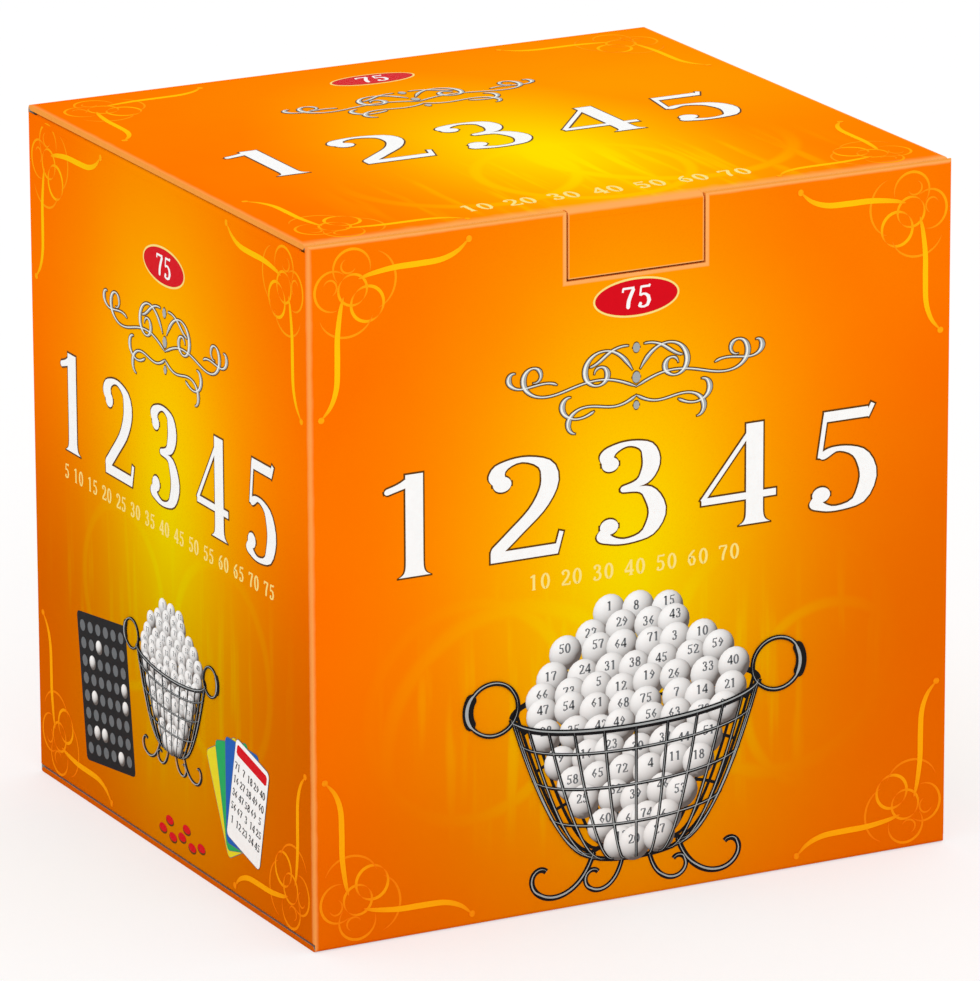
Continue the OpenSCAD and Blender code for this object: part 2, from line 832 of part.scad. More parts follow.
module card_pad(place) {
    shift = (place % 2 == 0 ? -1 : 1) * pad_shift;
    for (i = [0 : pad_cards - 1])
        translate([
            -card_w / 2 + shift,
            pads_y + place * (pad_t + rest_gap) + i * (card_t + card_gap) + card_t,
            stand_z
        ])
            rotate([90, 0, 0]) rounded_slab(card_w, card_h, card_t, card_corner);
}

module card_pad_yellow() {
    color([0.96, 0.83, 0.10]) card_pad(0);
}

module card_pad_white() {
    color([0.93, 0.93, 0.90]) card_pad(1);
}

module card_pad_blue() {
    color([0.10, 0.32, 0.66]) card_pad(2);
}

module card_pad_green() {
    color([0.15, 0.62, 0.32]) card_pad(3);
}

// The leaflet is folded once, with the fold on the left
module rules_leaflet() {
    r = leaflet_t / 2;
    color([0.95, 0.94, 0.90]) translate([-leaflet_w / 2, leaflet_y, stand_z]) difference() {
        union() {
            translate([r, 0, 0]) cube([leaflet_w - r, leaflet_t, leaflet_h]);
            translate([r, r, 0]) cylinder(r = r, h = leaflet_h);
        }
        translate([r, leaf_t, -overrun])
            cube([leaflet_w, leaf_gap, leaflet_h + 2 * overrun]);
    }
}

// Four pockets, with a finger gap in the tray's front and back walls
module chip_tray() {
    color([0.13, 0.13, 0.16]) translate([tray_x, tray_y, stand_z]) difference() {
        rounded_slab(tray_side, tray_side, tray_h, 2 * tray_wall);
        for (x = [0, 1], y = [0, 1])
            translate([
                tray_wall + pocket / 2 + x * (pocket + tray_wall),
                tray_wall + pocket / 2 + y * (pocket + tray_wall),
                tray_wall
            ]) cylinder(r = pocket / 2, h = tray_h);
        for (x = [0, 1])
            translate([tray_wall + pocket / 2 + x * (pocket + tray_wall), -overrun, tray_h])
                rotate([-90, 0, 0]) cylinder(r = pocket / 3, h = tray_side + 2 * overrun);
    }
}

module chips() {
    color([0.82, 0.10, 0.12]) translate([tray_x, tray_y, stand_z + tray_wall])
        for (x = [0, 1], y = [0, 1], i = [0 : chip_stack - 1])
            translate([
                tray_wall + pocket / 2 + x * (pocket + tray_wall),
                tray_wall + pocket / 2 + y * (pocket + tray_wall),
                rest_gap + i * (chip_t + card_gap)
            ]) cylinder(r = chip_d / 2, h = chip_t);
}

front_panel();
back_panel();
left_panel();
right_panel();
glue_flap();
bottom_flap_front();
bottom_flap_back();
bottom_flap_left();
bottom_flap_right();
lid_panel();
tuck_flap();
lock_tab();
dust_flap_left();
dust_flap_right();
drum_hoops();
drum_bars();
end_loops_left();
end_loops_right();
hub_left();
hub_right();
hatch_panel();
hatch_clips();
hatch_latch();
axle_crank();
grip();
front_frame();
rear_frame();
foot_loop_left();
foot_loop_right();
chute_rails();
ball_catch();
balls();
insert_divider();
master_board();
card_pad_yellow();
card_pad_white();
card_pad_blue();
card_pad_green();
rules_leaflet();
chip_tray();
chips();
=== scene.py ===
# %% [markdown]
# # A boxed number-drawing game
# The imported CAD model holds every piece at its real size: a folding carton, and inside it a wire
# cage, balls, cards and counters. This script gives them their looks. It loads the model as a fixed
# frame, so each new piece is placed by the frame's own sizes and rides on the body that carries it.

import json
import math
from functools import partial

import bpy
import numpy as np
from mathutils import Matrix, Vector


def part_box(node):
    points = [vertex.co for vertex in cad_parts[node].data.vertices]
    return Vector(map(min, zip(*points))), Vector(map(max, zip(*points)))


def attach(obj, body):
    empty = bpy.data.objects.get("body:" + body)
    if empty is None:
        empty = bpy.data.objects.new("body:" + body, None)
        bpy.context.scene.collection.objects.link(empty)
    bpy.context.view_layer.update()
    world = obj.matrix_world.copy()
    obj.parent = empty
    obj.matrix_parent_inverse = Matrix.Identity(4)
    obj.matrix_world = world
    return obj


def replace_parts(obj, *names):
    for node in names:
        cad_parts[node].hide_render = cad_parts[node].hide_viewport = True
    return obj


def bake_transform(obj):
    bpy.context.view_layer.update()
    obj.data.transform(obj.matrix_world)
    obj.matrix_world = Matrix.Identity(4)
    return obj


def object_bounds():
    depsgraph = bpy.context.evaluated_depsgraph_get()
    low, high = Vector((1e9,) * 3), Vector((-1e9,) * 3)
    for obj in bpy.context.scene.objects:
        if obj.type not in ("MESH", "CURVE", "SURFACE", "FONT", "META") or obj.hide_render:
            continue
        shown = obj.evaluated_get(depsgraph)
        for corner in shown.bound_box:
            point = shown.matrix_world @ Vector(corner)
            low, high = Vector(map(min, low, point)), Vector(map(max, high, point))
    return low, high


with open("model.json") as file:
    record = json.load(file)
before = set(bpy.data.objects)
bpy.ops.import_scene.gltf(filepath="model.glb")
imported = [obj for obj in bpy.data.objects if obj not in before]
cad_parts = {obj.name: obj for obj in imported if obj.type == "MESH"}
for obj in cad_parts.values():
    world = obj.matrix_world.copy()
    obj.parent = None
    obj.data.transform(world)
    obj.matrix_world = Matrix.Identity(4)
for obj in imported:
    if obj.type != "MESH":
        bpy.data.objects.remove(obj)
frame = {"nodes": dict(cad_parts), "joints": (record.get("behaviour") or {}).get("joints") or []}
cad_low, cad_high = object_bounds()
nodes = frame["nodes"]
mm = 0.001
low, high = np.array(cad_low), np.array(cad_high)
WIDE, DEEP, TALL = np.round((high - low) / mm, 3)
BALLS, CHIPS = 75, 60
print("carton: %.0f by %.0f by %.0f mm" % (WIDE, DEEP, TALL))

# %% [markdown]
# ## The camera
# The photograph's seven visible corners of the carton fix its camera: a long lens far away, to the
# left of the front and a little above. All its distances are shares of the carton's height.

# %% The photograph's camera
PHOTO_W, PHOTO_H = 980, 981
FOCAL_PX = 8562.09
AZIMUTH, ELEVATION, ROLL = (math.radians(a) for a in (-27.479, 16.591, 0.2323))
TARGET, DISTANCE = (0.0076, 0.0, 0.472), 12.1917
height = high[2] - low[2]
target, distance = np.array(TARGET) * height, DISTANCE * height

back = np.array([
    math.sin(AZIMUTH) * math.cos(ELEVATION),
    -math.cos(AZIMUTH) * math.cos(ELEVATION),
    math.sin(ELEVATION),
])
right = np.cross(-back, [0, 0, 1])
right /= np.linalg.norm(right)
up = np.cross(back, right)
turned_right = right * math.cos(ROLL) - up * math.sin(ROLL)
turned_up = right * math.sin(ROLL) + up * math.cos(ROLL)


def in_scene(name, data):
    """A new object that shows in the scene."""
    made = bpy.data.objects.new(name, data)
    bpy.context.scene.collection.objects.link(made)
    return made


lens = bpy.data.cameras.new("photo_camera")
lens.lens = FOCAL_PX / max(PHOTO_W, PHOTO_H) * lens.sensor_width
lens.clip_start, lens.clip_end = distance / 100, distance * 10
camera = in_scene("photo_camera", lens)
view = np.eye(4)
view[:3] = np.stack([turned_right, turned_up, back, target + back * distance], 1)
camera.matrix_world = Matrix(view.tolist())
bpy.context.scene.camera = camera
print("lens %.1f mm at %.2f m" % (lens.lens, distance))

# %% [markdown]
# ## Materials from nodes
# A printed carton is not one colour: the print has a glow, the upright faces carry painted shade
# towards the bottom, the creases are pale from wear and a painted highlight, and the cut edges show the
# bare board. Each finish is a small tree of nodes. The classes below keep such a tree readable: a
# method adds one or two nodes and returns an output, and takes numbers or other outputs.

# %% Helpers for node trees
class Nodes:
    """A tree that is built up node by node."""

    def __init__(self, tree):
        self.tree = tree

    def feed(self, socket, value):
        """Sets a socket, links an output to it, or leaves it for None. A colour gets a fourth number."""
        if isinstance(value, bpy.types.NodeSocket):
            self.tree.links.new(value, socket)
        elif value is not None:
            is_colour = hasattr(socket.default_value, "__len__") and len(socket.default_value) == 4
            socket.default_value = (*value, 1.0) if is_colour else value

    def add(self, kind, *values, out=0, **settings):
        """Adds a node, sets its properties, feeds its inputs in order and returns one output."""
        made = self.tree.nodes.new("ShaderNode" + kind)
        for name, value in settings.items():
            setattr(made, name, value)
        for socket, value in zip(made.inputs, values):
            self.feed(socket, value)
        return made.outputs[out]

    def math(self, operation, a, b=None, c=None):
        return self.add("Math", a, b, c, operation=operation)

    def times(self, a, b):
        return self.math("MULTIPLY", a, b)

    def scaled(self, value, factor, plus):
        """value * factor + plus."""
        return self.math("MULTIPLY_ADD", value, factor, plus)

    def larger(self, a, b):
        return self.math("MAXIMUM", a, b)

    def step(self, value, low, high):
        """0 below low and 1 above high, with a smooth rise between them. It falls if high < low."""
        ends = (low, high, 0.0, 1.0) if low < high else (high, low, 1.0, 0.0)
        return self.add("MapRange", value, *ends, interpolation_type="SMOOTHSTEP")

    def blend(self, share, first, second):
        """A colour between two colours, which are the seventh and eighth input of the node."""
        return self.add("Mix", share, *[None] * 5, first, second, out=2, data_type="RGBA")

    def axes(self, of="Object"):
        """The x, y and z of a point's place, or of the way the surface faces if of is "Normal"."""
        return list(self.add("SeparateXYZ", self.add("TexCoord", out=of)).node.outputs)

    def noise(self, scale, detail, place=None):
        return self.add("TexNoise", place or self.add("TexCoord", out="Object"), None, scale, detail)

    def shade(self):
        """The number that a piece's mesh keeps for each of its points."""
        return self.add("Attribute", out=2, attribute_name="shade")


class Finish(Nodes):
    """A material round one Principled shader."""

    def __init__(self, name, roughness=0.5, **sockets):
        self.material = bpy.data.materials.new(name)
        self.material.use_nodes = True
        super().__init__(self.material.node_tree)
        self.set(Roughness=roughness, **sockets)

    def set(self, **sockets):
        """Sets sockets of the shader, or links outputs to them."""
        for socket, value in sockets.items():
            self.feed(self.tree.nodes["Principled BSDF"].inputs[socket.replace("_", " ")], value)

    def bump(self, height, depth):
        """Feeds a relief to the shader. The depth is in metres."""
        made = self.tree.nodes.new("ShaderNodeBump")
        for socket, value in (("Strength", 1.0), ("Distance", depth), ("Height", height)):
            self.feed(made.inputs[socket], value)
        self.set(Normal=made.outputs[0])


def wear(node_name, finish):
    """Gives a CAD node a finish."""
    slots = nodes[node_name].data.materials
    slots.clear()
    slots.append(finish.material)


def darker(colour, share):
    """Each of the colour's three numbers times the share."""
    return tuple(share * c for c in colour)


# %% [markdown]
# ## Floor, light and background
# The carton stands in a white studio. A white world lights it from all round, so a colour renders
# about as it is written, and one large soft lamp from the upper left front gives the faces a little
# difference. The floor is a plain white sheet, a hair below the carton so that no two surfaces share
# a plane. To the camera alone it is half lit and half glowing, so that it is as white as the
# background and keeps only a faint soft shadow under the carton.

# %% The studio
WHITE = (1.0, 1.0, 1.0)
WORLD_LEVEL = 0.97
FLOOR_HALF, FLOOR_DROP = 20.0, 0.0001
FLOOR_WHITE, FLOOR_SEEN, FLOOR_GLOW = 0.94, 0.45, 0.56
LAMP_PLACE, LAMP_SIZE, LAMP_POWER = (-0.5, -2.2, 1.9), 1.2, 4.5

bpy.context.scene.view_settings.view_transform = "Standard"
world = bpy.data.worlds.new("studio")
bpy.context.scene.world = world
world.use_nodes = True
studio = Nodes(world.node_tree)
rays = studio.add("LightPath").node.outputs
seen = studio.larger(rays["Is Camera Ray"], rays["Is Transmission Ray"])
sky = studio.tree.nodes["Background"].inputs
studio.feed(sky["Color"], WHITE)
studio.feed(sky["Strength"], studio.add("MapRange", seen, 0.0, 1.0, WORLD_LEVEL, 1.0))

floor_mesh = bpy.data.meshes.new("floor")
around = np.array([(-1, -1), (1, -1), (1, 1), (-1, 1)]) * FLOOR_HALF
floor_mesh.from_pydata([(x, y, -FLOOR_DROP) for x, y in around.tolist()], [], [(0, 1, 2, 3)])
paper = Finish("floor_white", roughness=0.9, Specular_IOR_Level=0.0)
by_camera = paper.add("LightPath")
paper.set(
    Base_Color=paper.blend(by_camera, (FLOOR_WHITE,) * 3, (FLOOR_SEEN,) * 3),
    Emission_Color=WHITE, Emission_Strength=paper.times(by_camera, FLOOR_GLOW),
)
floor_mesh.materials.append(paper.material)
in_scene("floor", floor_mesh)

light = bpy.data.lights.new("key_lamp", "AREA")
light.size, light.energy = LAMP_SIZE, LAMP_POWER
lamp = in_scene("key_lamp", light)
lamp.location = LAMP_PLACE
lamp.rotation_euler = Vector(np.array(LAMP_PLACE) - target).to_track_quat("Z", "Y").to_euler()
print("lamp: %.1f m from the carton" % np.linalg.norm(np.array(LAMP_PLACE) - target))

# %% [markdown]
# ## Faces to print on
# Everything printed on the carton is placed in a face's own coordinates: millimetres to the right of
# its middle and above its lower edge, as seen from outside. On the top they start from its middle. A
# face keeps its origin and its two directions, which makes the same drawing fit the front, a side or
# the lid.

# %% The carton's faces
FACES = {
    "front": (np.array([0, low[1], 0]), (1, 0, 0), (0, 0, 1), "carton"),
    "left": (np.array([low[0], 0, 0]), (0, -1, 0), (0, 0, 1), "carton"),
    "right": (np.array([high[0], 0, 0]), (0, 1, 0), (0, 0, 1), "carton"),
    "back": (np.array([0, high[1], 0]), (-1, 0, 0), (0, 0, 1), "carton"),
    "top": (np.array([0, 0, high[2]]), (1, 0, 0), (0, 1, 0), "lid"),
}


def for_faces(front, left, top):
    """A value for each face. The back is printed as the front is, and the right as the left."""
    return {"front": front, "left": left, "top": top, "back": front, "right": left}


CARTON_FACES = tuple(FACES)
FACE_SIZES = for_faces((WIDE, TALL), (DEEP, TALL), (WIDE, DEEP))
print("faces:", ", ".join("%s %.0f by %.0f mm" % (face, *size) for face, size in FACE_SIZES.items()))


def on_face(face, points, height):
    """Places in space of a drawing's points: origin + u * right + v * up + height * outwards, in mm."""
    origin, across, along, _ = FACES[face]
    points = np.asarray(points, float)
    return origin + mm * (
        points[..., :1] * np.array(across) + points[..., 1:] * np.array(along)
        + np.asarray(height, float)[..., None] * np.cross(across, along)
    )


# %% [markdown]
# ## Pen strokes
# Numerals, scrolls and wires are all drawn with one tool: a line with a width at each of its points.
# The stroke becomes a thin closed bar, less than half a millimetre high, like a thick ink film. Its
# outline is worked out for all points at once.

# %% Lines
def even_ends(count):
    """Shares from 0 to 1 that lie closer together near both ends: (1 - cos(180 i)) / 2."""
    return 0.5 - 0.5 * np.cos(np.pi * np.linspace(0, 1, count))


def pen_curve(points, count):
    """A smooth line through the points. In each span it is the cubic that leaves and arrives with
    half of the step between the neighbours on either side (Catmull-Rom)."""
    p = np.asarray(points, float)
    p = np.vstack([2 * p[0] - p[1], p, 2 * p[-1] - p[-2]])
    s = even_ends(count) * (len(p) - 3)
    i = np.minimum(s.astype(int), len(p) - 4)
    t = (s - i)[:, None]
    a, b, c, d = p[i], p[i + 1], p[i + 2], p[i + 3]
    return 0.5 * (2 * b + (c - a) * t + (2 * a - 5 * b + 4 * c - d) * t**2 + (3 * b - a - 3 * c + d) * t**3)


def oval(middle, across, tall, start=0, stop=360, count=48):
    """Points of an ellipse: middle + (across * cos angle, tall * sin angle)."""
    angle = np.radians(np.linspace(start, stop, count))
    return np.asarray(middle) + np.stack([across * np.cos(angle), tall * np.sin(angle)], 1)


def scroll(start, heading, length, bends, count=64):
    """A line whose bend changes steadily: its heading is the running sum of the bend, in degrees per
    millimetre, and its place is the running sum of the heading (a clothoid)."""
    share = np.linspace(0, 1, count)
    step = length / (count - 1)
    bend = np.interp(share, np.linspace(0, 1, len(bends)), bends)
    angle = np.radians(heading + np.cumsum(bend) * step)
    steps = np.stack([np.cos(angle), np.sin(angle)], 1) * step
    return np.asarray(start, float) + np.cumsum(steps, axis=0) - steps[0]


# %% Strokes
# A length that keeps a division safe, and the least share of a width at a stroke's end
TINY, LEAST = 1e-9, 0.02


def directions(line):
    """The unit direction of a line at each of its points."""
    step = np.gradient(np.asarray(line, float), axis=0)
    return step / np.maximum(np.linalg.norm(step, axis=1), TINY)[:, None]


def leftwards(line):
    """The unit direction to the left of a line at each of its points."""
    return directions(line)[:, ::-1] * [-1, 1]


def nib(line, thin, thick):
    """Half widths of a broad pen held level: thin on level strokes and thick on upright ones,
    by the square of the sine of the direction."""
    return 0.5 * (thin + (thick - thin) * directions(line)[:, 1] ** 2)


def rounded(line, half):
    """Half widths that close each end of a stroke with a half circle."""
    gone = np.concatenate([[0], np.cumsum(np.linalg.norm(np.diff(line, axis=0), axis=1))])
    near = np.minimum(gone, gone[-1] - gone) / np.maximum(half, TINY)
    return half * np.sqrt(np.clip(1 - (1 - np.minimum(near, 1)) ** 2, LEAST, 1))


def tapered(line, widest, power=0.7):
    """Half widths that swell from nothing to the middle and back: widest * sin(180 share) ** power."""
    share = np.linspace(0, 1, len(line))
    return 0.5 * widest * np.clip(np.sin(np.pi * share), LEAST, 1) ** power


def grown(strokes, edge):
    """The same strokes wider and longer all round, for a dark edge under them."""
    made = []
    for line, half in strokes:
        ends = directions(line)[[0, -1]] * edge
        longer = np.vstack([line[:1] - ends[:1], line, line[-1:] + ends[1:]])
        made.append((longer, np.concatenate([half[:1], half, half[-1:]]) + edge))
    return made


def moved(strokes, to=(0, 0), scale=1.0, turn=0.0, flip=(1, 1)):
    """The same strokes flipped, turned by degrees, scaled and moved."""
    c, s = math.cos(math.radians(turn)), math.sin(math.radians(turn))
    turned_by = np.array([[c, s], [-s, c]])
    return [((line * flip) @ turned_by * scale + to, half * scale) for line, half in strokes]


def mirrored(strokes):
    """The strokes and their mirror images across the upright middle line."""
    return strokes + moved(strokes, flip=(-1, 1))


# %% Meshes from rings of points
def ring_quads(rings, around):
    """Quads between neighbouring rings: points (i, j), (i, j + 1), (i + 1, j + 1) and (i + 1, j)."""
    i, j = np.meshgrid(np.arange(rings - 1), np.arange(around), indexing="ij")
    corners = ((i, j), (i, j + 1), (i + 1, j + 1), (i + 1, j))
    return np.stack([ring * around + point % around for ring, point in corners], -1).reshape(-1, 4)


def tube_faces(rings, around):
    """The faces of a tube, with its two ends closed."""
    first = list(range(around))
    return [*ring_quads(rings, around).tolist(), first[::-1], [(rings - 1) * around + c for c in first]]


def turned(profile, around):
    """A closed surface of revolution: (r cos p, r sin p, h) for each (r, h) of the profile, which runs
    from the axis at the top, outwards and down, to the axis at the bottom."""
    radius, level = np.asarray(profile[1:-1], float).T[..., None]
    turn = np.linspace(0, 2 * np.pi, around, endpoint=False)[None]
    grid = np.stack([radius * np.cos(turn), radius * np.sin(turn), level + 0 * turn], -1)
    points = np.vstack([grid.reshape(-1, 3), [[0, 0, profile[0][1]], [0, 0, profile[-1][1]]]])
    j, last = np.arange(around), (len(radius) - 1) * around
    k = (j + 1) % around
    north = np.stack([np.full(around, len(points) - 2), j, k], 1)
    south = np.stack([np.full(around, len(points) - 1), last + k, last + j], 1)
    quads = ring_quads(len(radius), around)[:, [0, 3, 2, 1]]
    return points, [*quads.tolist(), *north.tolist(), *south.tolist()]


def add_piece(name, parts, finish, body, smooth=False, shades=None):
    """One mesh object from several (points, faces) parts, riding on a body, or on none yet. Shades are
    one number per point, which a finish can read."""
    points, faces, start = [], [], 0
    for part_points, part_faces in parts:
        points.append(np.asarray(part_points, float).reshape(-1, 3))
        faces += [[start + corner for corner in face] for face in part_faces]
        start += len(points[-1])
    mesh = bpy.data.meshes.new(name)
    mesh.from_pydata(np.vstack(points).tolist(), [], faces, shade_flat=not smooth)
    mesh.materials.append(finish.material)
    if shades is not None:
        mesh.attributes.new("shade", "FLOAT", "POINT").data.foreach_set("value", np.ravel(shades))
    piece = in_scene(name, mesh)
    if body:
        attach(piece, body)
    return piece


# %% Printing on a face
def stroke_parts(place, strokes, bottom, top, spread=0.0):
    """Strokes as thin closed bars. Place turns drawing points and a height into points in space. Spread
    lifts each bar a little above the one before it, so that no two that cross share a surface."""
    made = []
    for number, (line, half) in enumerate(strokes):
        left, roof = leftwards(line) * half[:, None], top + spread * number
        edges = ((line + left, bottom), (line + left, roof), (line - left, roof), (line - left, bottom))
        made.append((np.stack([place(*edge) for edge in edges], 1), tube_faces(len(line), len(edges))))
    return made


def add_print(face, name, parts, finish, slot="printed_board", shades=None):
    """Parts that lie on a face and ride with it."""
    return add_piece(f"{name}_{face}", parts, finish, FACES[face][3], shades=shades)


def print_on(face, name, strokes, finish, bottom, top, spread=0.001, **more):
    """Strokes printed on a face between two heights in mm."""
    parts = stroke_parts(partial(on_face, face), strokes, bottom, top, spread)
    add_print(face, name, parts, finish, **more)


def print_layers(face, layers, **more):
    """Several layers, each with its name, strokes, finish, bottom, top and perhaps its spread."""
    for layer in layers:
        print_on(face, *layer, **more)


# %% [markdown]
# ## Numerals
# All that is written on the carton is plain numerals, cut like a printer's roman type: thick uprights,
# hairline joins and small bracketed feet. A text object could set them, but its outline becomes uneven
# triangles. Here a numeral is a handful of strokes in a box one unit high, which stays light and can be
# laid on a ball. The same table serves the large print, the balls and the cards.

# %% A table of numerals
# Widths of a hairline, an upright and a bar, half width of a foot, and how fast its flare falls off
THIN, THICK, BAR, FOOT, FLARE_FALL = 0.045, 0.17, 0.10, 0.17, 0.028
NUMERALS = {
    "0": [("oval", (0.31, 0.5), 0.235, 0.475)],
    "1": [("stem", 0.32, 0.0, 1.0), ("pen", (0.34, 0.97), (0.22, 0.90), (0.08, 0.85))],
    "2": [
        ("dot", (0.145, 0.765), 0.075),
        ("pen", (0.08, 0.76), (0.14, 0.92), (0.31, 0.98), (0.49, 0.90), (0.535, 0.72), (0.44, 0.49),
         (0.24, 0.26), (0.06, 0.07)),
        ("bar", (0.05, 0.055), (0.60, 0.055)), ("hair", (0.585, 0.02), (0.63, 0.22)),
    ],
    "3": [
        ("dot", (0.145, 0.80), 0.07),
        ("pen", (0.08, 0.81), (0.16, 0.93), (0.30, 0.98), (0.44, 0.92), (0.485, 0.76), (0.41, 0.60),
         (0.23, 0.53)),
        ("pen", (0.23, 0.535), (0.44, 0.49), (0.535, 0.28), (0.45, 0.08), (0.27, 0.02), (0.12, 0.07),
         (0.07, 0.17)),
        ("dot", (0.135, 0.185), 0.075),
    ],
    "4": [
        ("hair", (0.46, 0.985), (0.02, 0.29)), ("level", (0.015, 0.285), (0.64, 0.285)),
        ("stem", 0.46, 0.0, 1.0),
    ],
    "5": [
        ("hair", (0.17, 0.965), (0.12, 0.545)), ("bar", (0.155, 0.945), (0.53, 0.945)),
        ("hair", (0.52, 0.90), (0.57, 1.02)),
        ("pen", (0.12, 0.55), (0.28, 0.615), (0.46, 0.53), (0.535, 0.31), (0.45, 0.08), (0.26, 0.02),
         (0.12, 0.07), (0.07, 0.16)),
        ("dot", (0.135, 0.175), 0.075),
    ],
    "6": [
        ("pen", (0.52, 0.97), (0.30, 0.83), (0.12, 0.56), (0.10, 0.28), (0.20, 0.07), (0.33, 0.02),
         (0.47, 0.10), (0.525, 0.30), (0.45, 0.51), (0.31, 0.57), (0.14, 0.46)),
    ],
    "7": [
        ("bar", (0.06, 0.945), (0.58, 0.945)), ("hair", (0.075, 0.97), (0.05, 0.78)),
        ("pen", (0.565, 0.93), (0.42, 0.62), (0.32, 0.33), (0.29, 0.0)),
    ],
    "8": [("oval", (0.31, 0.745), 0.17, 0.225), ("oval", (0.31, 0.275), 0.215, 0.255)],
    "9": [
        ("pen", (0.10, 0.03), (0.32, 0.17), (0.50, 0.44), (0.52, 0.72), (0.42, 0.93), (0.29, 0.98),
         (0.15, 0.90), (0.095, 0.70), (0.17, 0.49), (0.31, 0.43), (0.48, 0.54)),
    ],
}
# Room of a numeral and of a space in a row
ADVANCE, SPACE = 0.72, 0.5


def numeral_stroke(kind, values, thin, thick, count):
    """One stroke of a numeral and its half widths, in the unit box. The foot of a stem flares by
    e to the minus height / FLARE_FALL."""
    if kind == "oval":
        line = oval(*values, -90, 270, max(count, 13))
        return line, nib(line, thin, thick)
    if kind == "dot":
        middle, radius = values
        line = np.array(middle) + np.linspace(-1, 1, max(count // 2, 5))[:, None] * [radius, 0]
        return line, rounded(line, np.full(len(line), radius))
    if kind == "stem":
        x, foot, head = values
        line = np.stack([np.full(count, x), foot + (head - foot) * even_ends(count)], 1)
        return line, thick / 2 + (FOOT - thick / 2) * np.exp(-(line[:, 1] - foot) / FLARE_FALL)
    if kind == "pen":
        line = pen_curve(values, count)
        return line, rounded(line, nib(line, thin, thick))
    line = pen_curve(values, 3)
    width = {"hair": thin, "level": 1.5 * thin, "bar": BAR}[kind]
    return line, np.full(len(line), width / 2)


def centred_numerals(text, middle, base, tall, stretch=1.0, thin=THIN, thick=THICK, gap=0.0, count=28):
    """Strokes of a row of numerals in mm, centred on a place of its base line. Stretch widens them."""
    steps = [(SPACE if sign == " " else ADVANCE * stretch) * tall + gap for sign in text]
    made, x = [], middle - sum(steps) / 2
    for sign, step in zip(text, steps):
        for kind, *values in NUMERALS.get(sign, []):
            line, half = numeral_stroke(kind, values, thin, thick, count)
            made.append((np.array([x, base]) + line * [tall * stretch, tall], half * tall))
        x += step
    return made


def numbers_at(entries, tall, **settings):
    """Strokes of several numbers, each given with the middle and the height of its base line."""
    return [
        stroke for number, middle, base in entries
        for stroke in centred_numerals(str(number), middle, base, tall, **settings)
    ]


# %% Inks
INK_MOTTLE = (420, 3)


def ink(name, colour, roughness=0.45, specular=0.02):
    """A printed ink. Its colour varies a little, as an ink film does."""
    made = Finish(name, roughness=roughness, Specular_IOR_Level=specular)
    made.set(Base_Color=made.blend(made.noise(*INK_MOTTLE), darker(colour, 0.93), colour))
    return made


white_ink = ink("white_ink", (1.0, 1.0, 0.99))
edge_ink = ink("edge_ink", (0.12, 0.045, 0.005))
cream_ink = ink("cream_ink", (1.0, 0.80, 0.24))
silver_ink = ink("silver_ink", (0.40, 0.42, 0.42), roughness=0.35, specular=0.2)
shine_ink = ink("shine_ink", (0.96, 0.95, 0.88))
grey_ink = ink("grey_ink", (0.16, 0.17, 0.18))
orange_ink = ink("orange_ink", (1.0, 0.22, 0.0))
red_ink = ink("red_ink", (0.72, 0.004, 0.012))
black_ink = ink("black_ink", (0.012, 0.011, 0.012), roughness=0.35)
print("numerals:", len(NUMERALS))

# %% [markdown]
# ## The printed board
# The carton is cardboard with a printed skin. The print is an orange ground with a yellow glow in its
# middle, and faint pale streaks and rings that lie in it like a watermark. On the upright faces the
# colour darkens towards the bottom, which is painted shade. Each crease is a pale line, partly wear and
# partly a painted highlight, and the cut edges and the inside show the bare board. The glow falls off as
# e to the minus q to the 1.5, where q is the distance from the middle of the glow in shares of its width
# and height.

# %% What each face's print has
GROUND, GLOW, PEACH = (1.0, 0.158, 0.0), (1.0, 0.74, 0.0), (1.0, 0.42, 0.11)
CORE, LINER, FLECK = (1.0, 0.37, 0.06), (0.42, 0.38, 0.32), (0.16, 0.13, 0.10)
# Scale and detail of each noise
FIBRES, FLECKS, MOTTLE, STREAKS, PALE_LINE_NOISE = (900, 4), (1300, 2), (26, 4), (1.0, 3), (160, 3)
FIBRE_SHADE, FIBRE_RELIEF, MOTTLE_LEVEL = 0.86, 0.00001, 0.07
BOARD_ROUGH, SKIN_ROUGH = 0.8, 0.38
# How squarely a surface looks outwards where the skin starts and ends, and where the liner does
SKIN_TURN, LINER_TURN = (0.25, 0.4), (-0.4, -0.7)
GLOW_POWER = 1.5
# Middle and half size of the glow, the darkest share of the painted shade towards the bottom, and
# where that shade starts and ends, with its lean to the right
PRINTS = for_faces(
    front=((-2, 97), (41, 71), 0.80, (138, 30, 0.37)), left=((0, 100), (42, 74), 0.68, (145, 50, 0.0)),
    top=((6, -26), (44, 70), 1.0, (0, -90, 0.0)),
)
# Middle, half size and strength of a second, faint glow
HAZE = for_faces(
    front=((10, 200), (110, 70), 0.10), left=((0, 190), (90, 60), 0.05), top=((60, 30), (120, 100), 0.28),
)
# Width and strength of the pale line on the left, right, lower and upper edge of a face: partly wear,
# partly a painted highlight on the crease
WORN_AND_HIGHLIT = for_faces(
    front=((1.5, 0.75), (0.7, 0.3), (0.6, 0.25), (1.1, 0.95)),
    left=((0.8, 0.3), (1.8, 0.7), (0.6, 0.25), (2.0, 0.6)),
    top=((2.2, 0.6), (1.2, 0.5), (7.5, 0.9), (1.0, 0.4)),
)
# Watermark rings: middle and radius
RINGS = for_faces(
    front=((-52, 62, 31), (-38, 50, 40), (62, 50, 27), (46, 66, 36)), left=((-30, 70, 26), (34, 66, 30)),
    top=((-30, -40, 34), (36, -36, 38), (4, -52, 30)),
)
# The watermark's half size, how far it lies below the glow, where it ends above it, how much it draws
# the noise out into streaks, and the strength of its streaks and rings
WATER_SIZE, WATER_DROP, WATER_TOP = (90, 60), 30, 12
STREAK_ACROSS, STREAK_UP = 0.16, 0.012
STREAK_LEVEL, RING_LEVEL = 0.2, 0.16


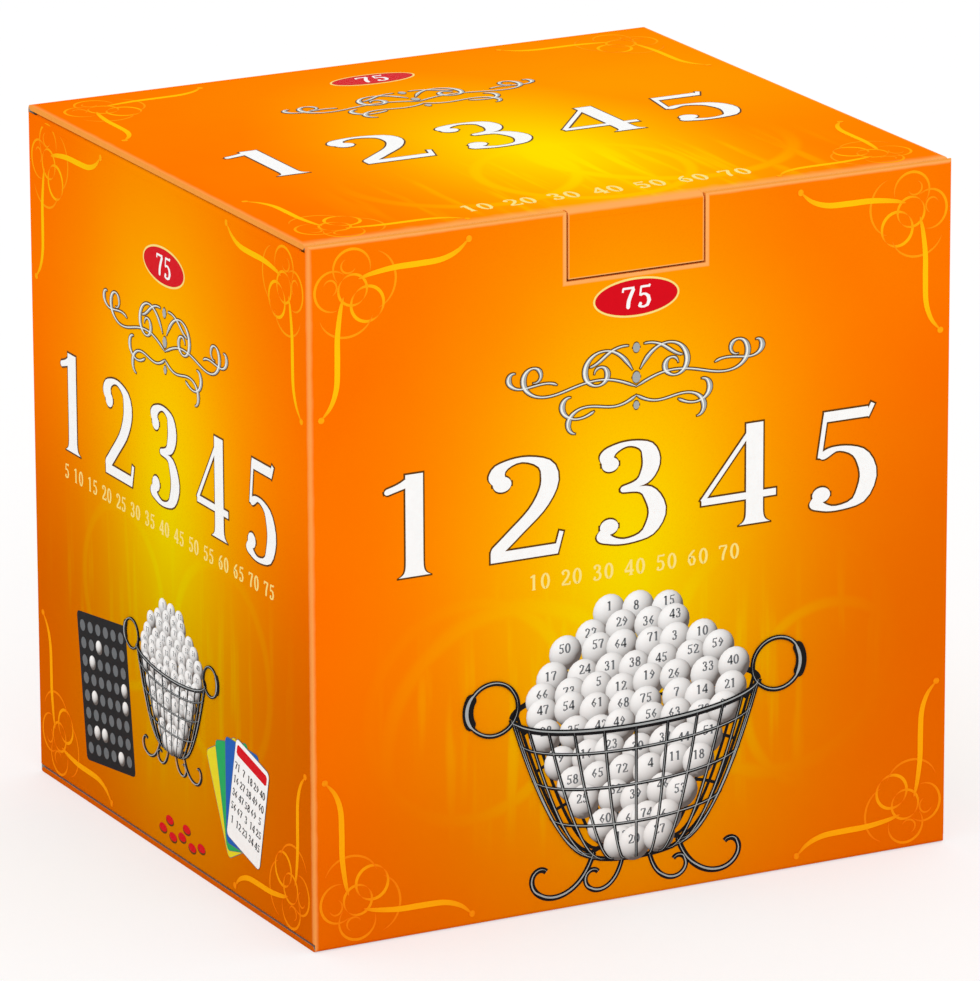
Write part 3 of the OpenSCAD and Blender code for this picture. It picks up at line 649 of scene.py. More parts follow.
def face_drawing(made, face):
    """The two drawing coordinates of a face in mm, and how squarely a surface looks outwards."""
    origin, across, along, _ = FACES[face]

    def along_axis(axes, direction, scale, start):
        pick = int(np.argmax(np.abs(direction)))
        sign = float(direction[pick])
        return made.scaled(axes[pick], sign * scale, -sign * scale * start[pick])

    normal, place = made.axes("Normal"), made.axes()
    return (
        along_axis(place, across, 1 / mm, origin), along_axis(place, along, 1 / mm, origin),
        along_axis(normal, np.cross(across, along), 1, np.zeros(3)),
    )


def reach(made, u, v, middle, size):
    """Distance from a middle in shares of a half width and a half height."""
    far_u, far_v = (made.scaled(w, 1 / size[i], -middle[i] / size[i]) for i, w in enumerate((u, v)))
    return made.math("SQRT", made.scaled(far_u, far_u, made.times(far_v, far_v)))


def glow_at(made, u, v, middle, size):
    """e to the minus q to the 1.5, with q the distance in shares of the glow's size."""
    falling = made.math("POWER", reach(made, u, v, middle, size), GLOW_POWER)
    return made.math("EXPONENT", made.times(falling, -1))


# %% Ground, glow, painted shade and creases pale from wear and a painted highlight
def board(made, outward, printed, mottle=0.5, core=CORE):
    """Printed colour on the outer skin, bare board on cut edges and grey liner with flecks inside."""
    fibre = made.noise(*FIBRES)
    bare, liner = (made.blend(fibre, darker(colour, FIBRE_SHADE), colour) for colour in (core, LINER))
    fleck = made.step(made.noise(*FLECKS), 0.62, 0.72)
    lining = made.blend(made.times(fleck, 0.4), liner, FLECK)
    inside = made.blend(made.step(outward, *LINER_TURN), bare, lining)
    outside = made.step(outward, *SKIN_TURN)
    rough = made.scaled(mottle, 0.1, BOARD_ROUGH)
    made.set(
        Base_Color=made.blend(outside, inside, printed),
        Roughness=made.scaled(outside, SKIN_ROUGH - BOARD_ROUGH, rough),
    )
    made.bump(fibre, FIBRE_RELIEF)


def watermark(made, face, u, v, middle):
    """Faint upright streaks and rings under the glow's middle, which fade upwards and sideways."""
    lowered = (middle[0], middle[1] - WATER_DROP)
    share = made.times(
        made.step(v, middle[1] + WATER_TOP, lowered[1]),
        made.step(reach(made, u, v, lowered, WATER_SIZE), 1.0, 0.5),
    )
    drawn_out = made.add("CombineXYZ", made.times(u, STREAK_ACROSS), made.times(v, STREAK_UP))
    streak = made.step(made.noise(*STREAKS, drawn_out), 0.5, 0.68)
    water = made.times(made.times(streak, STREAK_LEVEL), share)
    for ring_u, ring_v, radius in RINGS[face]:
        far = reach(made, u, v, (ring_u, ring_v), (radius, radius))
        near = made.step(made.math("ABSOLUTE", made.math("SUBTRACT", far, 1)), 0.09, 0.02)
        water = made.larger(water, made.times(made.times(near, RING_LEVEL), share))
    return water


def worn_lines(made, face, u, v, slit):
    """1 where a crease is pale from wear and a painted highlight, along the four edges of a face and round
    the lock tab's slit.
    """
    width, tall = FACE_SIZES[face]
    foot = -tall / 2 if face == "top" else 0
    gaps = (
        made.math("ADD", u, width / 2), made.math("SUBTRACT", width / 2, u),
        made.math("SUBTRACT", v, foot), made.math("SUBTRACT", foot + tall, v),
    )
    pale_noise, highlit_worn = made.scaled(made.noise(*PALE_LINE_NOISE), 0.5, 0.72), 0.0
    for gap, (wide, strength) in zip(gaps, WORN_AND_HIGHLIT[face]):
        line = made.step(made.times(gap, pale_noise), wide, 0.25 * wide)
        highlit_worn = made.larger(made.times(line, strength), highlit_worn)
    if slit is None:
        return highlit_worn
    half, slit_foot, wide = slit
    beside = made.math("SUBTRACT", made.math("ABSOLUTE", u), half)
    rim = made.math("ABSOLUTE", made.larger(beside, made.math("SUBTRACT", slit_foot, v)))
    return made.larger(highlit_worn, made.step(rim, wide, 0.6 * wide))


def printed_board(name, face, slit=None, bent=False):
    """The printed skin of one face of the carton. Slit is the lock tab's half width, its foot and the
    width of its pale rim. A bent piece's own shades tell its outer side, which is 1, from its inner
    side, which is 0."""
    made = Finish(name, roughness=0.42, Specular_IOR_Level=0.0)
    u, v, outward = face_drawing(made, face)
    if bent:
        outward = made.scaled(made.shade(), 2, -1)
    middle, size, darkest, (bright_v, dark_v, lean) = PRINTS[face]
    *haze, haze_level = HAZE[face]
    mottle = made.noise(*MOTTLE)
    faint_glow = made.times(glow_at(made, u, v, *haze), haze_level)
    glow = made.larger(glow_at(made, u, v, middle, size), faint_glow)
    glow = made.scaled(made.math("SUBTRACT", mottle, 0.5), MOTTLE_LEVEL, glow)
    glow = made.math("ADD", glow, watermark(made, face, u, v, middle))
    # Painted shade: the upright faces darken towards the bottom, and the front also towards the right
    dark = made.step(made.scaled(u, -lean, v), bright_v, dark_v)
    shaded = made.blend(glow, darker(GROUND, darkest), darker(GLOW, darkest))
    colour = made.blend(dark, made.blend(glow, GROUND, GLOW), shaded)
    board(made, outward, made.blend(worn_lines(made, face, u, v, slit), colour, PEACH), mottle)
    return made


# %% Panels and lock tab
# Width of the slit round the tab, and of the pale rim beside it on the panel and on the tab, which is
# a painted highlight along the cut
KERF, NOTCH_RIM, TAB_RIM = 0.6, 1.3, 0.35
tab_low, tab_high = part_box("lock_tab")
tab_half, tab_foot = tab_high.x / mm, tab_low.z / mm
notch_slit, tab_slit = (tab_half + KERF, tab_foot - KERF, NOTCH_RIM), (tab_half, tab_foot, TAB_RIM)
PANELS = {"back_panel": "back", "left_panel": "left", "right_panel": "right", "lid_panel": "top"}
for node, face in PANELS.items():
    wear(node, printed_board("print_" + face, face))
wear("front_panel", printed_board("print_front", "front", notch_slit))
wear("lock_tab", printed_board("print_tab", "front", tab_slit))
print("tab: %.0f mm wide, down to %.0f mm" % (2 * tab_half, tab_foot))

# %% Flaps
# The outer skin of each flap: axis and sign of its outward direction, how dark its orange is, and the
# colour of its cut edges. Under the carton the orange and the cut edges are darker as painted shade,
# matching the lower faces
SHADED_CORE = (0.72, 0.125, 0.0)
FLAPS = {
    "tuck_flap": (1, -1, 0.94, CORE),
    "dust_flap_left": (2, 1, 0.97, CORE), "dust_flap_right": (2, 1, 0.97, CORE),
    "bottom_flap_front": (2, -1, 0.8, SHADED_CORE), "bottom_flap_back": (2, -1, 0.8, SHADED_CORE),
    "bottom_flap_left": (2, -1, 0.7, SHADED_CORE), "bottom_flap_right": (2, -1, 0.7, SHADED_CORE),
}
FLAP_MOTTLE = (30, 4)


def flap_board(name, axis, sign, shade, core):
    """A flap's skin is the print's plain ground with a little mottle, darkened by shade: painted shade
    under the carton.
    """
    made = Finish(name, roughness=0.5, Specular_IOR_Level=0.01)
    mottle = made.noise(*FLAP_MOTTLE)
    ground = darker(GROUND, shade)
    printed = made.blend(made.step(mottle, 0.35, 0.7), ground, darker(ground, 0.9))
    board(made, made.times(made.axes("Normal")[axis], sign), printed, mottle, core)
    return made


for node, values in FLAPS.items():
    wear(node, flap_board("print_" + node, *values))
grey_board = Finish("grey_board", roughness=0.85, Specular_IOR_Level=0.1)
board(grey_board, -1.0, GROUND)
for node in ("glue_flap", "insert_divider"):
    wear(node, grey_board)
print("printed flaps:", len(FLAPS))

# %% [markdown]
# ## Skin over the creases
# A crease is a groove pressed into the board, where its skin stretches and rubs pale, and the print
# also carries a painted highlight there. The imported pieces on its two sides turn about its sharp
# corner, so an opened crease would show a gap. A thin strip of skin lies over each one. Its section is a
# quarter circle with short straight ends that lap onto the board on either side.

# %% Strips of skin
# Radius of a crease and how far a strip laps onto each board, then how far the skin stands out of the
# board and reaches into it, and how far the closed tuck flap leans back
CREASE_R, CREASE_LAP = 1.5, 1.0
SKIN_OUT, SKIN_IN = 0.05, 0.25
TUCK_LEAN = math.radians(9)
hinges = {joint["name"]: joint for joint in frame["joints"]}


def crease_strip(name, hinge, first, second, ends, face, slit=None):
    """A strip over the crease at a hinge. First and second are the directions from the hinge along the
    boards of its two bodies, and ends are the strip's two ends on the hinge's axis, in mm. The section
    is an arc that touches both boards: middle + (R + h)(m sin((1 - t) w) + n sin(t w)) / sin w, where m
    and n are the outward directions of the boards, w is the angle between them, and t runs from 0 to 1."""
    a, b = (np.array(v, float) for v in (first, second))
    fold = math.acos(a @ b)
    m, n = (-(q - p * (p @ q)) / math.sin(fold) for p, q in ((a, b), (b, a)))
    corner = np.array(hinges[hinge]["pos_m"]) / mm
    begin, end = (corner + CREASE_R / math.tan(fold / 2) * v for v in (a, b))
    w, t = math.pi - fold, np.linspace(0, 1, 13)[:, None]
    outwards = (m * np.sin((1 - t) * w) + n * np.sin(t * w)) / math.sin(w)

    def line(h):
        bend = begin - CREASE_R * m + (CREASE_R + h) * outwards
        return np.vstack([bend[:1] + CREASE_LAP * a, bend, bend[-1:] + CREASE_LAP * b])

    section = np.vstack([line(SKIN_OUT), line(-SKIN_IN)[::-1]])
    axis = np.round(np.cross(a, b) / math.sin(fold))
    sides = sorted(ends, reverse=bool(axis.sum() < 0))
    rings = np.stack([section * (axis == 0) + side * np.abs(axis) for side in sides])
    shades = np.tile(np.repeat([1.0, 0.0], len(section) // 2), 2)
    # The strip's skin takes its face's print, with the pale line of wear and painted highlight on the
    # crease
    skin = printed_board("print_crease_" + name, face, slit, bent=True)
    parts = [(rings * mm, tube_faces(2, len(section)))]
    strip = add_piece("crease_" + name, parts, skin, None, shades=shades)
    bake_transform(strip)


def ends_of(node, axis, margin):
    """The two ends of a node on an axis, in mm, drawn in by a margin."""
    node_low, node_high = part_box(node)
    return node_low[axis] / mm + margin, node_high[axis] / mm - margin


IN, DOWN = (0, 1, 0), (0, 0, -1)
crease_strip("back", "lid_open", DOWN, (0, -1, 0), ends_of("lid_panel", 0, 0.1), "top")
for side, inward in (("left", 1), ("right", -1)):
    ends = ends_of("dust_flap_" + side, 1, 0.7)
    crease_strip("dust_" + side, "dust_%s_open" % side, DOWN, (inward, 0, 0), ends, side)
tuck_down = (0, math.sin(TUCK_LEAN), -math.cos(TUCK_LEAN))
tuck_left, tuck_right = ends_of("tuck_flap", 0, 0.5)
crease_strip("tuck_left", "tuck_unfold", IN, tuck_down, (tuck_left, -tab_half - KERF), "top")
crease_strip("tuck_right", "tuck_unfold", IN, tuck_down, (tab_half + KERF, tuck_right), "top")
crease_strip("tab", "tab_flip", IN, DOWN, ends_of("lock_tab", 0, 0.05), "front", tab_slit)
print("crease strips: 6, skin %.2f mm" % (SKIN_OUT + SKIN_IN))

# %% [markdown]
# ## The title
# The title of each face is five large white numerals in one row. Each has a thin dark edge, which is
# the same stroke a little wider on a layer below, so it follows every curve of the numeral.

# %% Title on every face
TITLE, TITLE_TALL, TITLE_THICK = "12345", 29, 0.185
# Base line, distance from one numeral to the next and stretch
TITLE_ROWS = for_faces(front=(103.6, 33.5, 1.3), left=(103.6, 30.5, 1.08), top=(-18, 33.5, 1.3))
# Thickness of a layer of ink, and width of the dark edge
INK, EDGE = 0.06, 0.5
for face, (base, step, stretch) in TITLE_ROWS.items():
    row = [(sign, (number - (len(TITLE) - 1) / 2) * step, base) for number, sign in enumerate(TITLE)]
    strokes = numbers_at(row, TITLE_TALL, stretch=stretch, thick=TITLE_THICK, count=40)
    print_on(face, "title_edge", grown(strokes, EDGE), edge_ink, 0, INK)
    print_on(face, "title", strokes, white_ink, INK, 2 * INK)
print("title:", TITLE, "at", TITLE_TALL, "mm")

# %% [markdown]
# ## Filled shapes from the same stroke
# A disc is a stroke whose half width follows a half circle along its line, and a card is one whose
# half width is level except where it rounds the corners. So discs, ovals and cards need no tool of
# their own, and they turn and shrink as any stroke does.

# %% Ovals, cards and glints
# How far off a stroke's middle its glint lies, in half widths, and how quickly it changes side
GLINT, TURN_OVER = 0.3, 4


def filled_oval(middle, across, tall, count=25):
    """A line along the oval's length, with half width tall * sqrt(1 - share squared)."""
    share = 2 * even_ends(count) - 1
    line = np.asarray(middle, float) + share[:, None] * [across, 0]
    return line, np.maximum(tall * np.sqrt(np.clip(1 - share**2, 0, 1)), 0.01 * tall)


def filled_card(middle, wide, tall, corner, count=25):
    """A line along the card's width. Near an end the half width loses what the corner's arc takes."""
    share = 2 * even_ends(count) - 1
    left = (1 - np.abs(share)) * wide / 2
    cut = corner - np.sqrt(np.clip(corner**2 - np.clip(corner - left, 0, corner) ** 2, 0, None))
    return np.asarray(middle, float) + share[:, None] * [wide / 2, 0], tall / 2 - cut


def glints(strokes, share=0.3):
    """A thin light line inside each stroke, towards its upper left side. The side changes smoothly, as
    the hyperbolic tangent of how far the stroke's own left looks that way."""
    made = []
    for line, half in strokes:
        left = leftwards(line)
        inner = line + left * (np.tanh(TURN_OVER * left @ [-1, 1]) * half * GLINT)[:, None]
        made.append((inner, share * np.minimum(half, tapered(line, 2 * half.max()))))
    return made


# %% [markdown]
# ## Seal, silver ornament and small numbers
# Above the title stand a red oval seal with the number of balls and a silver penman's ornament of
# mirrored scrolls, and below it runs a row of small pale numbers. A scroll could be a curve through
# chosen points. Here it is a line whose bend changes steadily, which is how a hand draws one.

# %% A row of small things on each face
SEAL_PLACE, SEAL_SIZE, SEAL_RIM = for_faces(173.4, 173.4, 69.5), (12.8, 5.0), 0.6
ORNAMENT_PLACE, ORNAMENT_SCALE = for_faces(150.5, 151.5, 42), 0.82
# Numbers, base line and height
TENS, FIVES = (" ".join(str(n) for n in range(step, stop, step)) for step, stop in ((10, 75), (5, 80)))
SMALL_ROWS = for_faces((TENS, 94.2, 4.4), (FIVES, 95, 4.2), (TENS, -77, 6.2))
# Start, heading, length and bends of the scrolls that leave the ornament's middle and curl up
SCROLLS = (
    ((0, -3), 25, 62, (0.0, -2.6, -1.0, 4.0, 13.0, 26.0)),
    ((1.5, 3), 60, 46, (-1.0, -6.0, -9.0, -14.0, -26.0)),
    ((0, -6), -35, 34, (2.0, 5.0, -2.0, -9.0, -20.0)),
    ((3, 11.5), 10, 16, (-6.0, -4.0, 9.0)),
    ((30, 1.5), 35, 24, (-9.0, -3.0, 2.0, 14.0, 34.0)),
    ((16, -9.5), -30, 20, (2.0, 9.0, 22.0)),
)
# Height above the ornament's middle and half width of its beads
BEADS = ((10.5, 1.3), (-9.5, 1.1), (0.2, 1.5))

lines = [scroll(*values) for values in SCROLLS]
ornament = mirrored([(line, np.minimum(nib(line, 0.55, 1.9), tapered(line, 3.2))) for line in lines])
ornament += [filled_oval((0, y), r, r * 1.3, 15) for y, r in BEADS]
for face in CARTON_FACES:
    drawn = moved(ornament, to=(0, ORNAMENT_PLACE[face]), scale=ORNAMENT_SCALE)
    seal, rim = (0, SEAL_PLACE[face]), [size + SEAL_RIM for size in SEAL_SIZE]
    number = numbers_at([(BALLS, 0.3, seal[1] - 3.1)], 6.2, thin=0.09, thick=0.19, stretch=1.1, count=14)
    text, base, tall = SMALL_ROWS[face]
    row = centred_numerals(text, 0, base, tall, thin=0.10, thick=0.17, gap=0.45, count=12)
    print_layers(face, [
        ("ornament_edge", grown(drawn, 0.28), edge_ink, 0, INK),
        ("ornament", drawn, silver_ink, INK, 2 * INK),
        ("ornament_shine", glints(drawn[:-len(BEADS)], 0.42), shine_ink, INK, 2.4 * INK),
        ("seal_rim", [filled_oval(seal, *rim)], cream_ink, 0, INK),
        ("seal", [filled_oval(seal, *SEAL_SIZE)], red_ink, INK, 1.5 * INK),
        ("seal_number", number, white_ink, 1.5 * INK, 2 * INK),
        ("small_numbers", row, cream_ink, 0, INK),
    ])
print("ornament: %d scrolls and %d beads" % (2 * len(SCROLLS), len(BEADS)))

# %% [markdown]
# ## Corner scrolls
# Each corner has a gold flourish: two tails along the edges that run into interlaced petals and rings.
# One half of it is drawn, from arcs of ovals, and mirrors make its twin and the other corners. Every
# line glows in its middle and fades towards its ends, as a soft brush leaves it, so each point of a
# stroke carries a shade, and the ink reads it.

# %% Gold that fades
# Low on the upright faces the gold darkens, from GOLD_FROM down to GOLD_TO in metres: painted shade, as on
# the board
GOLD, GOLD_LOW = (1.0, 0.55, 0.004), (1.0, 0.40, 0.004)
FAINT, FAINT_LOW = (1.0, 0.25, 0.006), (0.90, 0.165, 0.004)
GOLD_FROM, GOLD_TO = 0.140, 0.040


def fading(strokes, levels):
    """Shades of the strokes' points: level * sin(180 share), the same for the four points of a ring."""
    shares = (np.linspace(0, 1, len(line)) for line, _ in strokes)
    return np.concatenate([np.repeat(level * np.sin(np.pi * s), 4) for level, s in zip(levels, shares)])


gold_ink = Finish("gold_ink", roughness=0.45, Specular_IOR_Level=0.0)
# Painted shade: the gold is darker low down
low_down = gold_ink.step(gold_ink.axes()[2], GOLD_FROM, GOLD_TO)
faint, bright = (gold_ink.blend(low_down, *pair) for pair in ((FAINT, FAINT_LOW), (GOLD, GOLD_LOW)))
gold_ink.set(Base_Color=gold_ink.blend(gold_ink.shade(), faint, bright))

# %% Corners
TAIL = ((15, 10.6), (19, 9.6), (26, 8.7), (33, 8.6), (40, 8.3), (45, 6.6), (48.6, 3.6))
# How far a face's corner scrolls keep off its edges, to stay clear of the rounded creases
SCROLL_INSET = {"front": 0.0, "back": 1.0, "left": 1.0, "right": 1.0, "top": 3.0}
# Middle, two half sizes and ends in degrees of each arc, its width and its shade
ARCS = (
    ((17.8, 17.8), (4.9, 4.9), (45, 225), 0.95, 0.75),
    ((13.4, 13.4), (4.3, 4.3), (45, 225), 0.8, 0.55),
    ((7.4, 13.2), (5.4, 5.6), (75, 310), 0.8, 0.45),
    ((19.2, 11.4), (7.2, 8.2), (-75, 75), 0.7, 0.3),
    ((12.2, 6.6), (2.2, 2.0), (20, 250), 0.6, 0.25),
)
tail = pen_curve(TAIL, 44)
tails = [(tail, tapered(tail, 1.7, 1.1)), filled_oval(TAIL[-1], 0.95, 0.95, 11)]
arcs = [oval(middle, *size, *ends, 36) for middle, size, ends, _, _ in ARCS]
curls = [(line, tapered(line, width, 0.5)) for line, (*_, width, _) in zip(arcs, ARCS)]
signs = [(across, along) for across in (-1, 1) for along in (-1, 1)]
arc_levels, tail_levels = [level for *_, level in ARCS], [1.0, 0.5]
CURL_TOP, TAIL_TOP = 0.02, 0.10
for name, group, levels, top in (
    ("corner_curls", curls, arc_levels, CURL_TOP), ("corner_tails", tails, tail_levels, TAIL_TOP),
):
    twins = group + [(line[:, ::-1], half) for line, half in group]
    for face in CARTON_FACES:
        half_u, half_v = np.array(FACE_SIZES[face]) / 2 - SCROLL_INSET[face]
        middle = 0 if face == "top" else TALL / 2
        corners = [(across * half_u, middle + along * half_v) for across, along in signs]
        whole = [
            stroke for corner, (across, along) in zip(corners, signs)
            for stroke in moved(twins, to=corner, flip=(-across, -along))
        ]
        print_on(face, name, whole, gold_ink, 0, top, shades=fading(whole, levels * 8))
print("corner scrolls: %d arcs and %d tails on each face" % (8 * len(ARCS), 8))

# %% [markdown]
# ## The printed picture
# Each upright face carries a picture: a round wire basket on scroll feet, heaped with white numbered
# balls. It has three layers: the far wires, then the balls from back to front, then the near wires over
# them. The basket is drawn from its shape in space, a bowl whose half width grows as a power of the
# height, seen from a little above, so its rings become flat ellipses.

# %% A basket
RIM_R, FOOT_R, BOWL_DEEP = 36, 13, 40
SEEN_FLAT, FLARE = 0.2, 0.55
MESH_WIRE, RING_DEPTHS = 0.85, (0.16, 0.42, 0.70)
# Start, heading, length, bends and width of the two feet on the right
FEET = (
    ((12.3, -39.5), -72, 32, (1.5, 4.2, 6.0, 10.7, 28.5), 1.6),
    ((4, -42.4), -76, 22, (1.5, 8.0, 16.0, 32.0), 1.4),
)
HANDLE = ((41.4, 3.4), 7.2, 7.0)


def bowl_wire(turn, depth):
    """Drawing points of the bowl at turns in degrees and depths from 0 at the rim to 1 at the foot:
    (w cos turn, -depth * tall + flat * w sin turn), with w = foot + (rim - foot)(1 - depth)^flare."""
    turn, depth = np.broadcast_arrays(np.radians(turn), np.asarray(depth, float))
    wide = FOOT_R + (RIM_R - FOOT_R) * (1 - depth) ** FLARE
    return np.stack([wide * np.cos(turn), -BOWL_DEEP * depth + SEEN_FLAT * wide * np.sin(turn)], -1)


def wire(line, thick):
    return line, np.full(len(line), thick / 2)


def side_of_basket(first, last, count, rim):
    """Upright wires, level wires and rim of the far side (turns 0 to 180) or the near side (-180 to 0)."""
    depths = 1 - np.linspace(1, 0, 18) ** 1.6
    uprights = [bowl_wire(turn, depths) for turn in np.linspace(first, last, count)]
    level = [bowl_wire(np.linspace(first, last, 30), depth) for depth in RING_DEPTHS]
    whole = bowl_wire(np.linspace(*((0, 180) if first > 0 else (-180, 0)), 40), 0)
    return [wire(line, MESH_WIRE) for line in uprights + level] + [wire(whole, rim)]


feet = mirrored([wire(scroll(*values), thick) for *values, thick in FEET])
loop, grip = wire(oval(*HANDLE, -180, 180, 49), 1.2), oval(*HANDLE, -38, 42, 48)
handles = mirrored([loop, (grip, rounded(grip, np.full(len(grip), 1.5)))])
foot_ring = wire(oval((0, -BOWL_DEEP), FOOT_R, SEEN_FLAT * FOOT_R), 1.3)
far_wires = feet + side_of_basket(15, 165, 11, 1.5) + [foot_ring]
near_wires = side_of_basket(-180, 0, 13, 1.7) + handles
print("basket: %d far and %d near strokes" % (len(far_wires), len(near_wires)))

# %% A heap of balls
PICTURE_BALL = 4.7
# Rows of the heap: height, number of balls and distance between them
HEAP = (
    (24.0, 3, 7.8), (19.4, 4, 8.3), (14.4, 6, 7.9), (9.4, 7, 8.0), (4.2, 8, 7.9), (-1.0, 8, 8.0),
    (-6.5, 8, 7.5), (-13.0, 7, 7.5), (-19.5, 6, 7.4), (-26.0, 5, 7.0), (-32.5, 4, 6.6), (-38.0, 3, 6.2),
)
heap = np.array([
    ((i - (count - 1) / 2) * step, level) for level, count, step in HEAP for i in range(count)
])
heap += np.random.default_rng(12).normal(0, (0.8, 0.6), heap.shape)
DISC_RINGS, DISC_AROUND = 6, 20
LIGHT_FROM = np.array([-0.46, 0.62, 0.63])


def shaded_discs(place, middles, radius, bottom, top, rise):
    """Flat closed discs that look like balls. Their rings are at the sines of even steps of tilt, as far
    apart as the parallels of a ball seen from above. The shade is the dot product of the ball's outward
    direction (x, y, sqrt(1 - x^2 - y^2)) and the light's. Each disc lies a little above the last."""
    sines = np.sin(np.pi / 2 * np.arange(DISC_RINGS + 1) / DISC_RINGS)
    points, faces = turned([(r, 1) for r in sines] + [(1, 0), (0, 0)], DISC_AROUND)
    flat, is_top = points[:, :2], points[:, 2] == 1
    z = np.sqrt(np.clip(1 - (flat**2).sum(1), 0, 1))
    shade = np.clip(np.column_stack([flat, z]) @ LIGHT_FROM, 0, 1)
    parts = [
        (place(middle + radius * flat, np.where(is_top, top + rise * i, bottom)), faces)
        for i, middle in enumerate(middles)
    ]
    return parts, np.tile(shade, len(middles))


print_ball = Finish("print_ball", roughness=0.45, Specular_IOR_Level=0.04)
lit = print_ball.math("POWER", print_ball.shade(), 0.75)
print_ball.set(Base_Color=print_ball.blend(lit, (0.13, 0.11, 0.10), (1.0, 1.0, 0.99)))
print("picture: %d balls in the heap" % len(heap))

# %% [markdown]
# ## A picture for each face
# The front and the back carry the basket alone. The two sides show a smaller one between a dark board
# with places for the balls and a fan of number cards, with a few red counters in front.

# %% Laying the basket down
# Thickness of the far wires and of the first ball, the step to each next ball, and the near wires' top
FAR, BALLS_TOP, BALL_STEP, NEAR = 0.04, 0.05, 0.004, 0.36
# Height of the balls' numbers, the step from one to the next, and how far off their middles they stand
PICTURE_NUMBER, COUNT_BY = 2.5, 7
SHIFTS_UP, SHIFT_BACK = (1.5, 0.9, 1.9, 1.2), 1.3


def print_basket(face, middle, scale):
    """The whole picture of the basket, with its rim's middle at a place on the face. Each number lies
    at the height of its own ball, so that a nearer ball hides it."""
    put, on = partial(moved, to=middle, scale=scale), partial(on_face, face)
    print_on(face, "basket_far", put(far_wires), black_ink, 0, FAR)
    discs, shades = shaded_discs(on, heap * scale + middle, PICTURE_BALL * scale, 0, BALLS_TOP, BALL_STEP)
    add_print(face, "picture_balls", discs, print_ball, shades=shades)
    marks = []
    for number, (place, shift) in enumerate(zip(heap, SHIFTS_UP * len(heap))):
        at = place + [shift - SHIFT_BACK, shift - PICTURE_NUMBER / 2]
        entry = (1 + number * COUNT_BY % BALLS, *at)
        drawn = put(numbers_at([entry], PICTURE_NUMBER, thin=0.12, thick=0.21, count=7))
        marks += stroke_parts(on, drawn, 0, BALLS_TOP + (number + 0.5) * BALL_STEP)
    add_print(face, "picture_numbers", marks, grey_ink)
    print_on(face, "basket_near", put(near_wires), black_ink, 0, NEAR)
    print_on(face, "basket_glints", put(glints(near_wires + feet)), silver_ink, NEAR, NEAR + 0.06)


for face in ("front", "back"):
    print_basket(face, (0, 58), 1.08)

# %% Board, cards and counters on the sides
# Thickness of a thin layer of ink
FILM = 0.03
print_yellow = ink("print_yellow", (0.85, 0.72, 0.02))
print_green = ink("print_green", (0.02, 0.42, 0.12))
print_blue = ink("print_blue", (0.015, 0.12, 0.50))
on_board = partial(moved, to=(-43, 37), turn=7)
BOARD_SIZE, SPOT_R, BOARD_BALL = (33, 44), 1.7, 2.1
spots = np.array([(x, y) for y in np.linspace(-18, 18, 8) for x in np.linspace(-13, 13, 6)])
taken = np.random.default_rng(5).random(len(spots)) < 0.16
[(board_balls, _)] = on_board([(spots[taken], np.zeros(taken.sum()))])
empty = on_board([filled_oval(spot, SPOT_R, SPOT_R, 9) for spot in spots[~taken]])
board_layers = [
    ("picture_board", on_board([filled_card((0, 0), *BOARD_SIZE, 1.5)]), black_ink, 0, FAR),
    ("picture_places", empty, grey_ink, FAR, FAR + FILM),
]

FAN_AT, CARD_SIZE = (46, 16), (21, 31)
FAN = ((26, print_yellow), (13, print_green), (0, print_blue), (-13, white_ink))
other_layers = []
for number, (turn, finish) in enumerate(FAN):
    card = moved([filled_card((0, CARD_SIZE[1] / 2), *CARD_SIZE, 1.6)], to=FAN_AT, turn=turn)
    bottom = FAR * number
    other_layers += [
        ("picture_card_edge_%d" % number, grown(card, 0.2), grey_ink, bottom, bottom + 0.02),
        ("picture_card_%d" % number, card, finish, bottom, bottom + FAR),
    ]
on_card, card_top = partial(moved, to=FAN_AT, turn=FAN[-1][0]), len(FAN) * FAR
figures = numbers_at([
    ((5 * row + column) * 11 % BALLS + 1, 4 * column - 8, 4.2 * row + 5)
    for row in range(5) for column in range(5)
], 2.3, thin=0.1, thick=0.2, count=7)
card_band = filled_card((0, 28), 19, 3.2, 0.6, 9)
counters = [(-6, 7.5), (0.5, 6.5), (6.5, 8.2), (13, 7), (19, 8.6), (9.5, 11.4), (-1.5, 11)]
edges = [filled_oval(place, 2.6, 1.5, 13) for place in counters]
tops = [filled_oval((x, y + 0.3), 2.4, 1.25, 13) for x, y in counters]
other_layers += [
    ("picture_card_numbers", on_card(figures), black_ink, card_top, card_top + FILM, 0),
    ("picture_card_band", on_card([card_band]), red_ink, card_top, card_top + FILM),
    ("picture_counter_edges", edges, edge_ink, 0, FAR),
    ("picture_counters", tops, red_ink, FAR, FAR + FILM),
]
for face in ("left", "right"):
    print_basket(face, (1, 58), 0.62)
    print_layers(face, board_layers)
    on = partial(on_face, face)
    discs, shades = shaded_discs(on, board_balls, BOARD_BALL, FAR, FAR + BALLS_TOP, 0.001)
    add_print(face, "picture_board_balls", discs, print_ball, shades=shades)
    print_layers(face, other_layers)
print("side picture: %d balls on the board, %d cards" % (taken.sum(), len(FAN)))

# %% [markdown]
# ## The balls
# The set has 75 glossy white balls, each with its number in black. The CAD node gives their places.
# A new mesh stands for the node: a ball is a grid of 24 by 14 points, which is enough to look round
# at 14 mm and keeps the whole set light. A number is drawn flat and then laid on the ball by pushing
# each of its points out to the sphere.

# %% Places and turns
random = np.random.default_rng(75)


def boxes_of(name, count):
    """The lowest and highest corners of a node's equal solids, in metres."""
    corners = nodes[name].data.vertices
    flat = np.zeros(len(corners) * 3)
    corners.foreach_get("co", flat)
    blocks = flat.reshape(count, -1, 3)
    return blocks.min(axis=1), blocks.max(axis=1)


ball_low, ball_high = boxes_of("balls", BALLS)
ball_r = float(ball_high[0, 2] - ball_low[0, 2]) / 2 / mm


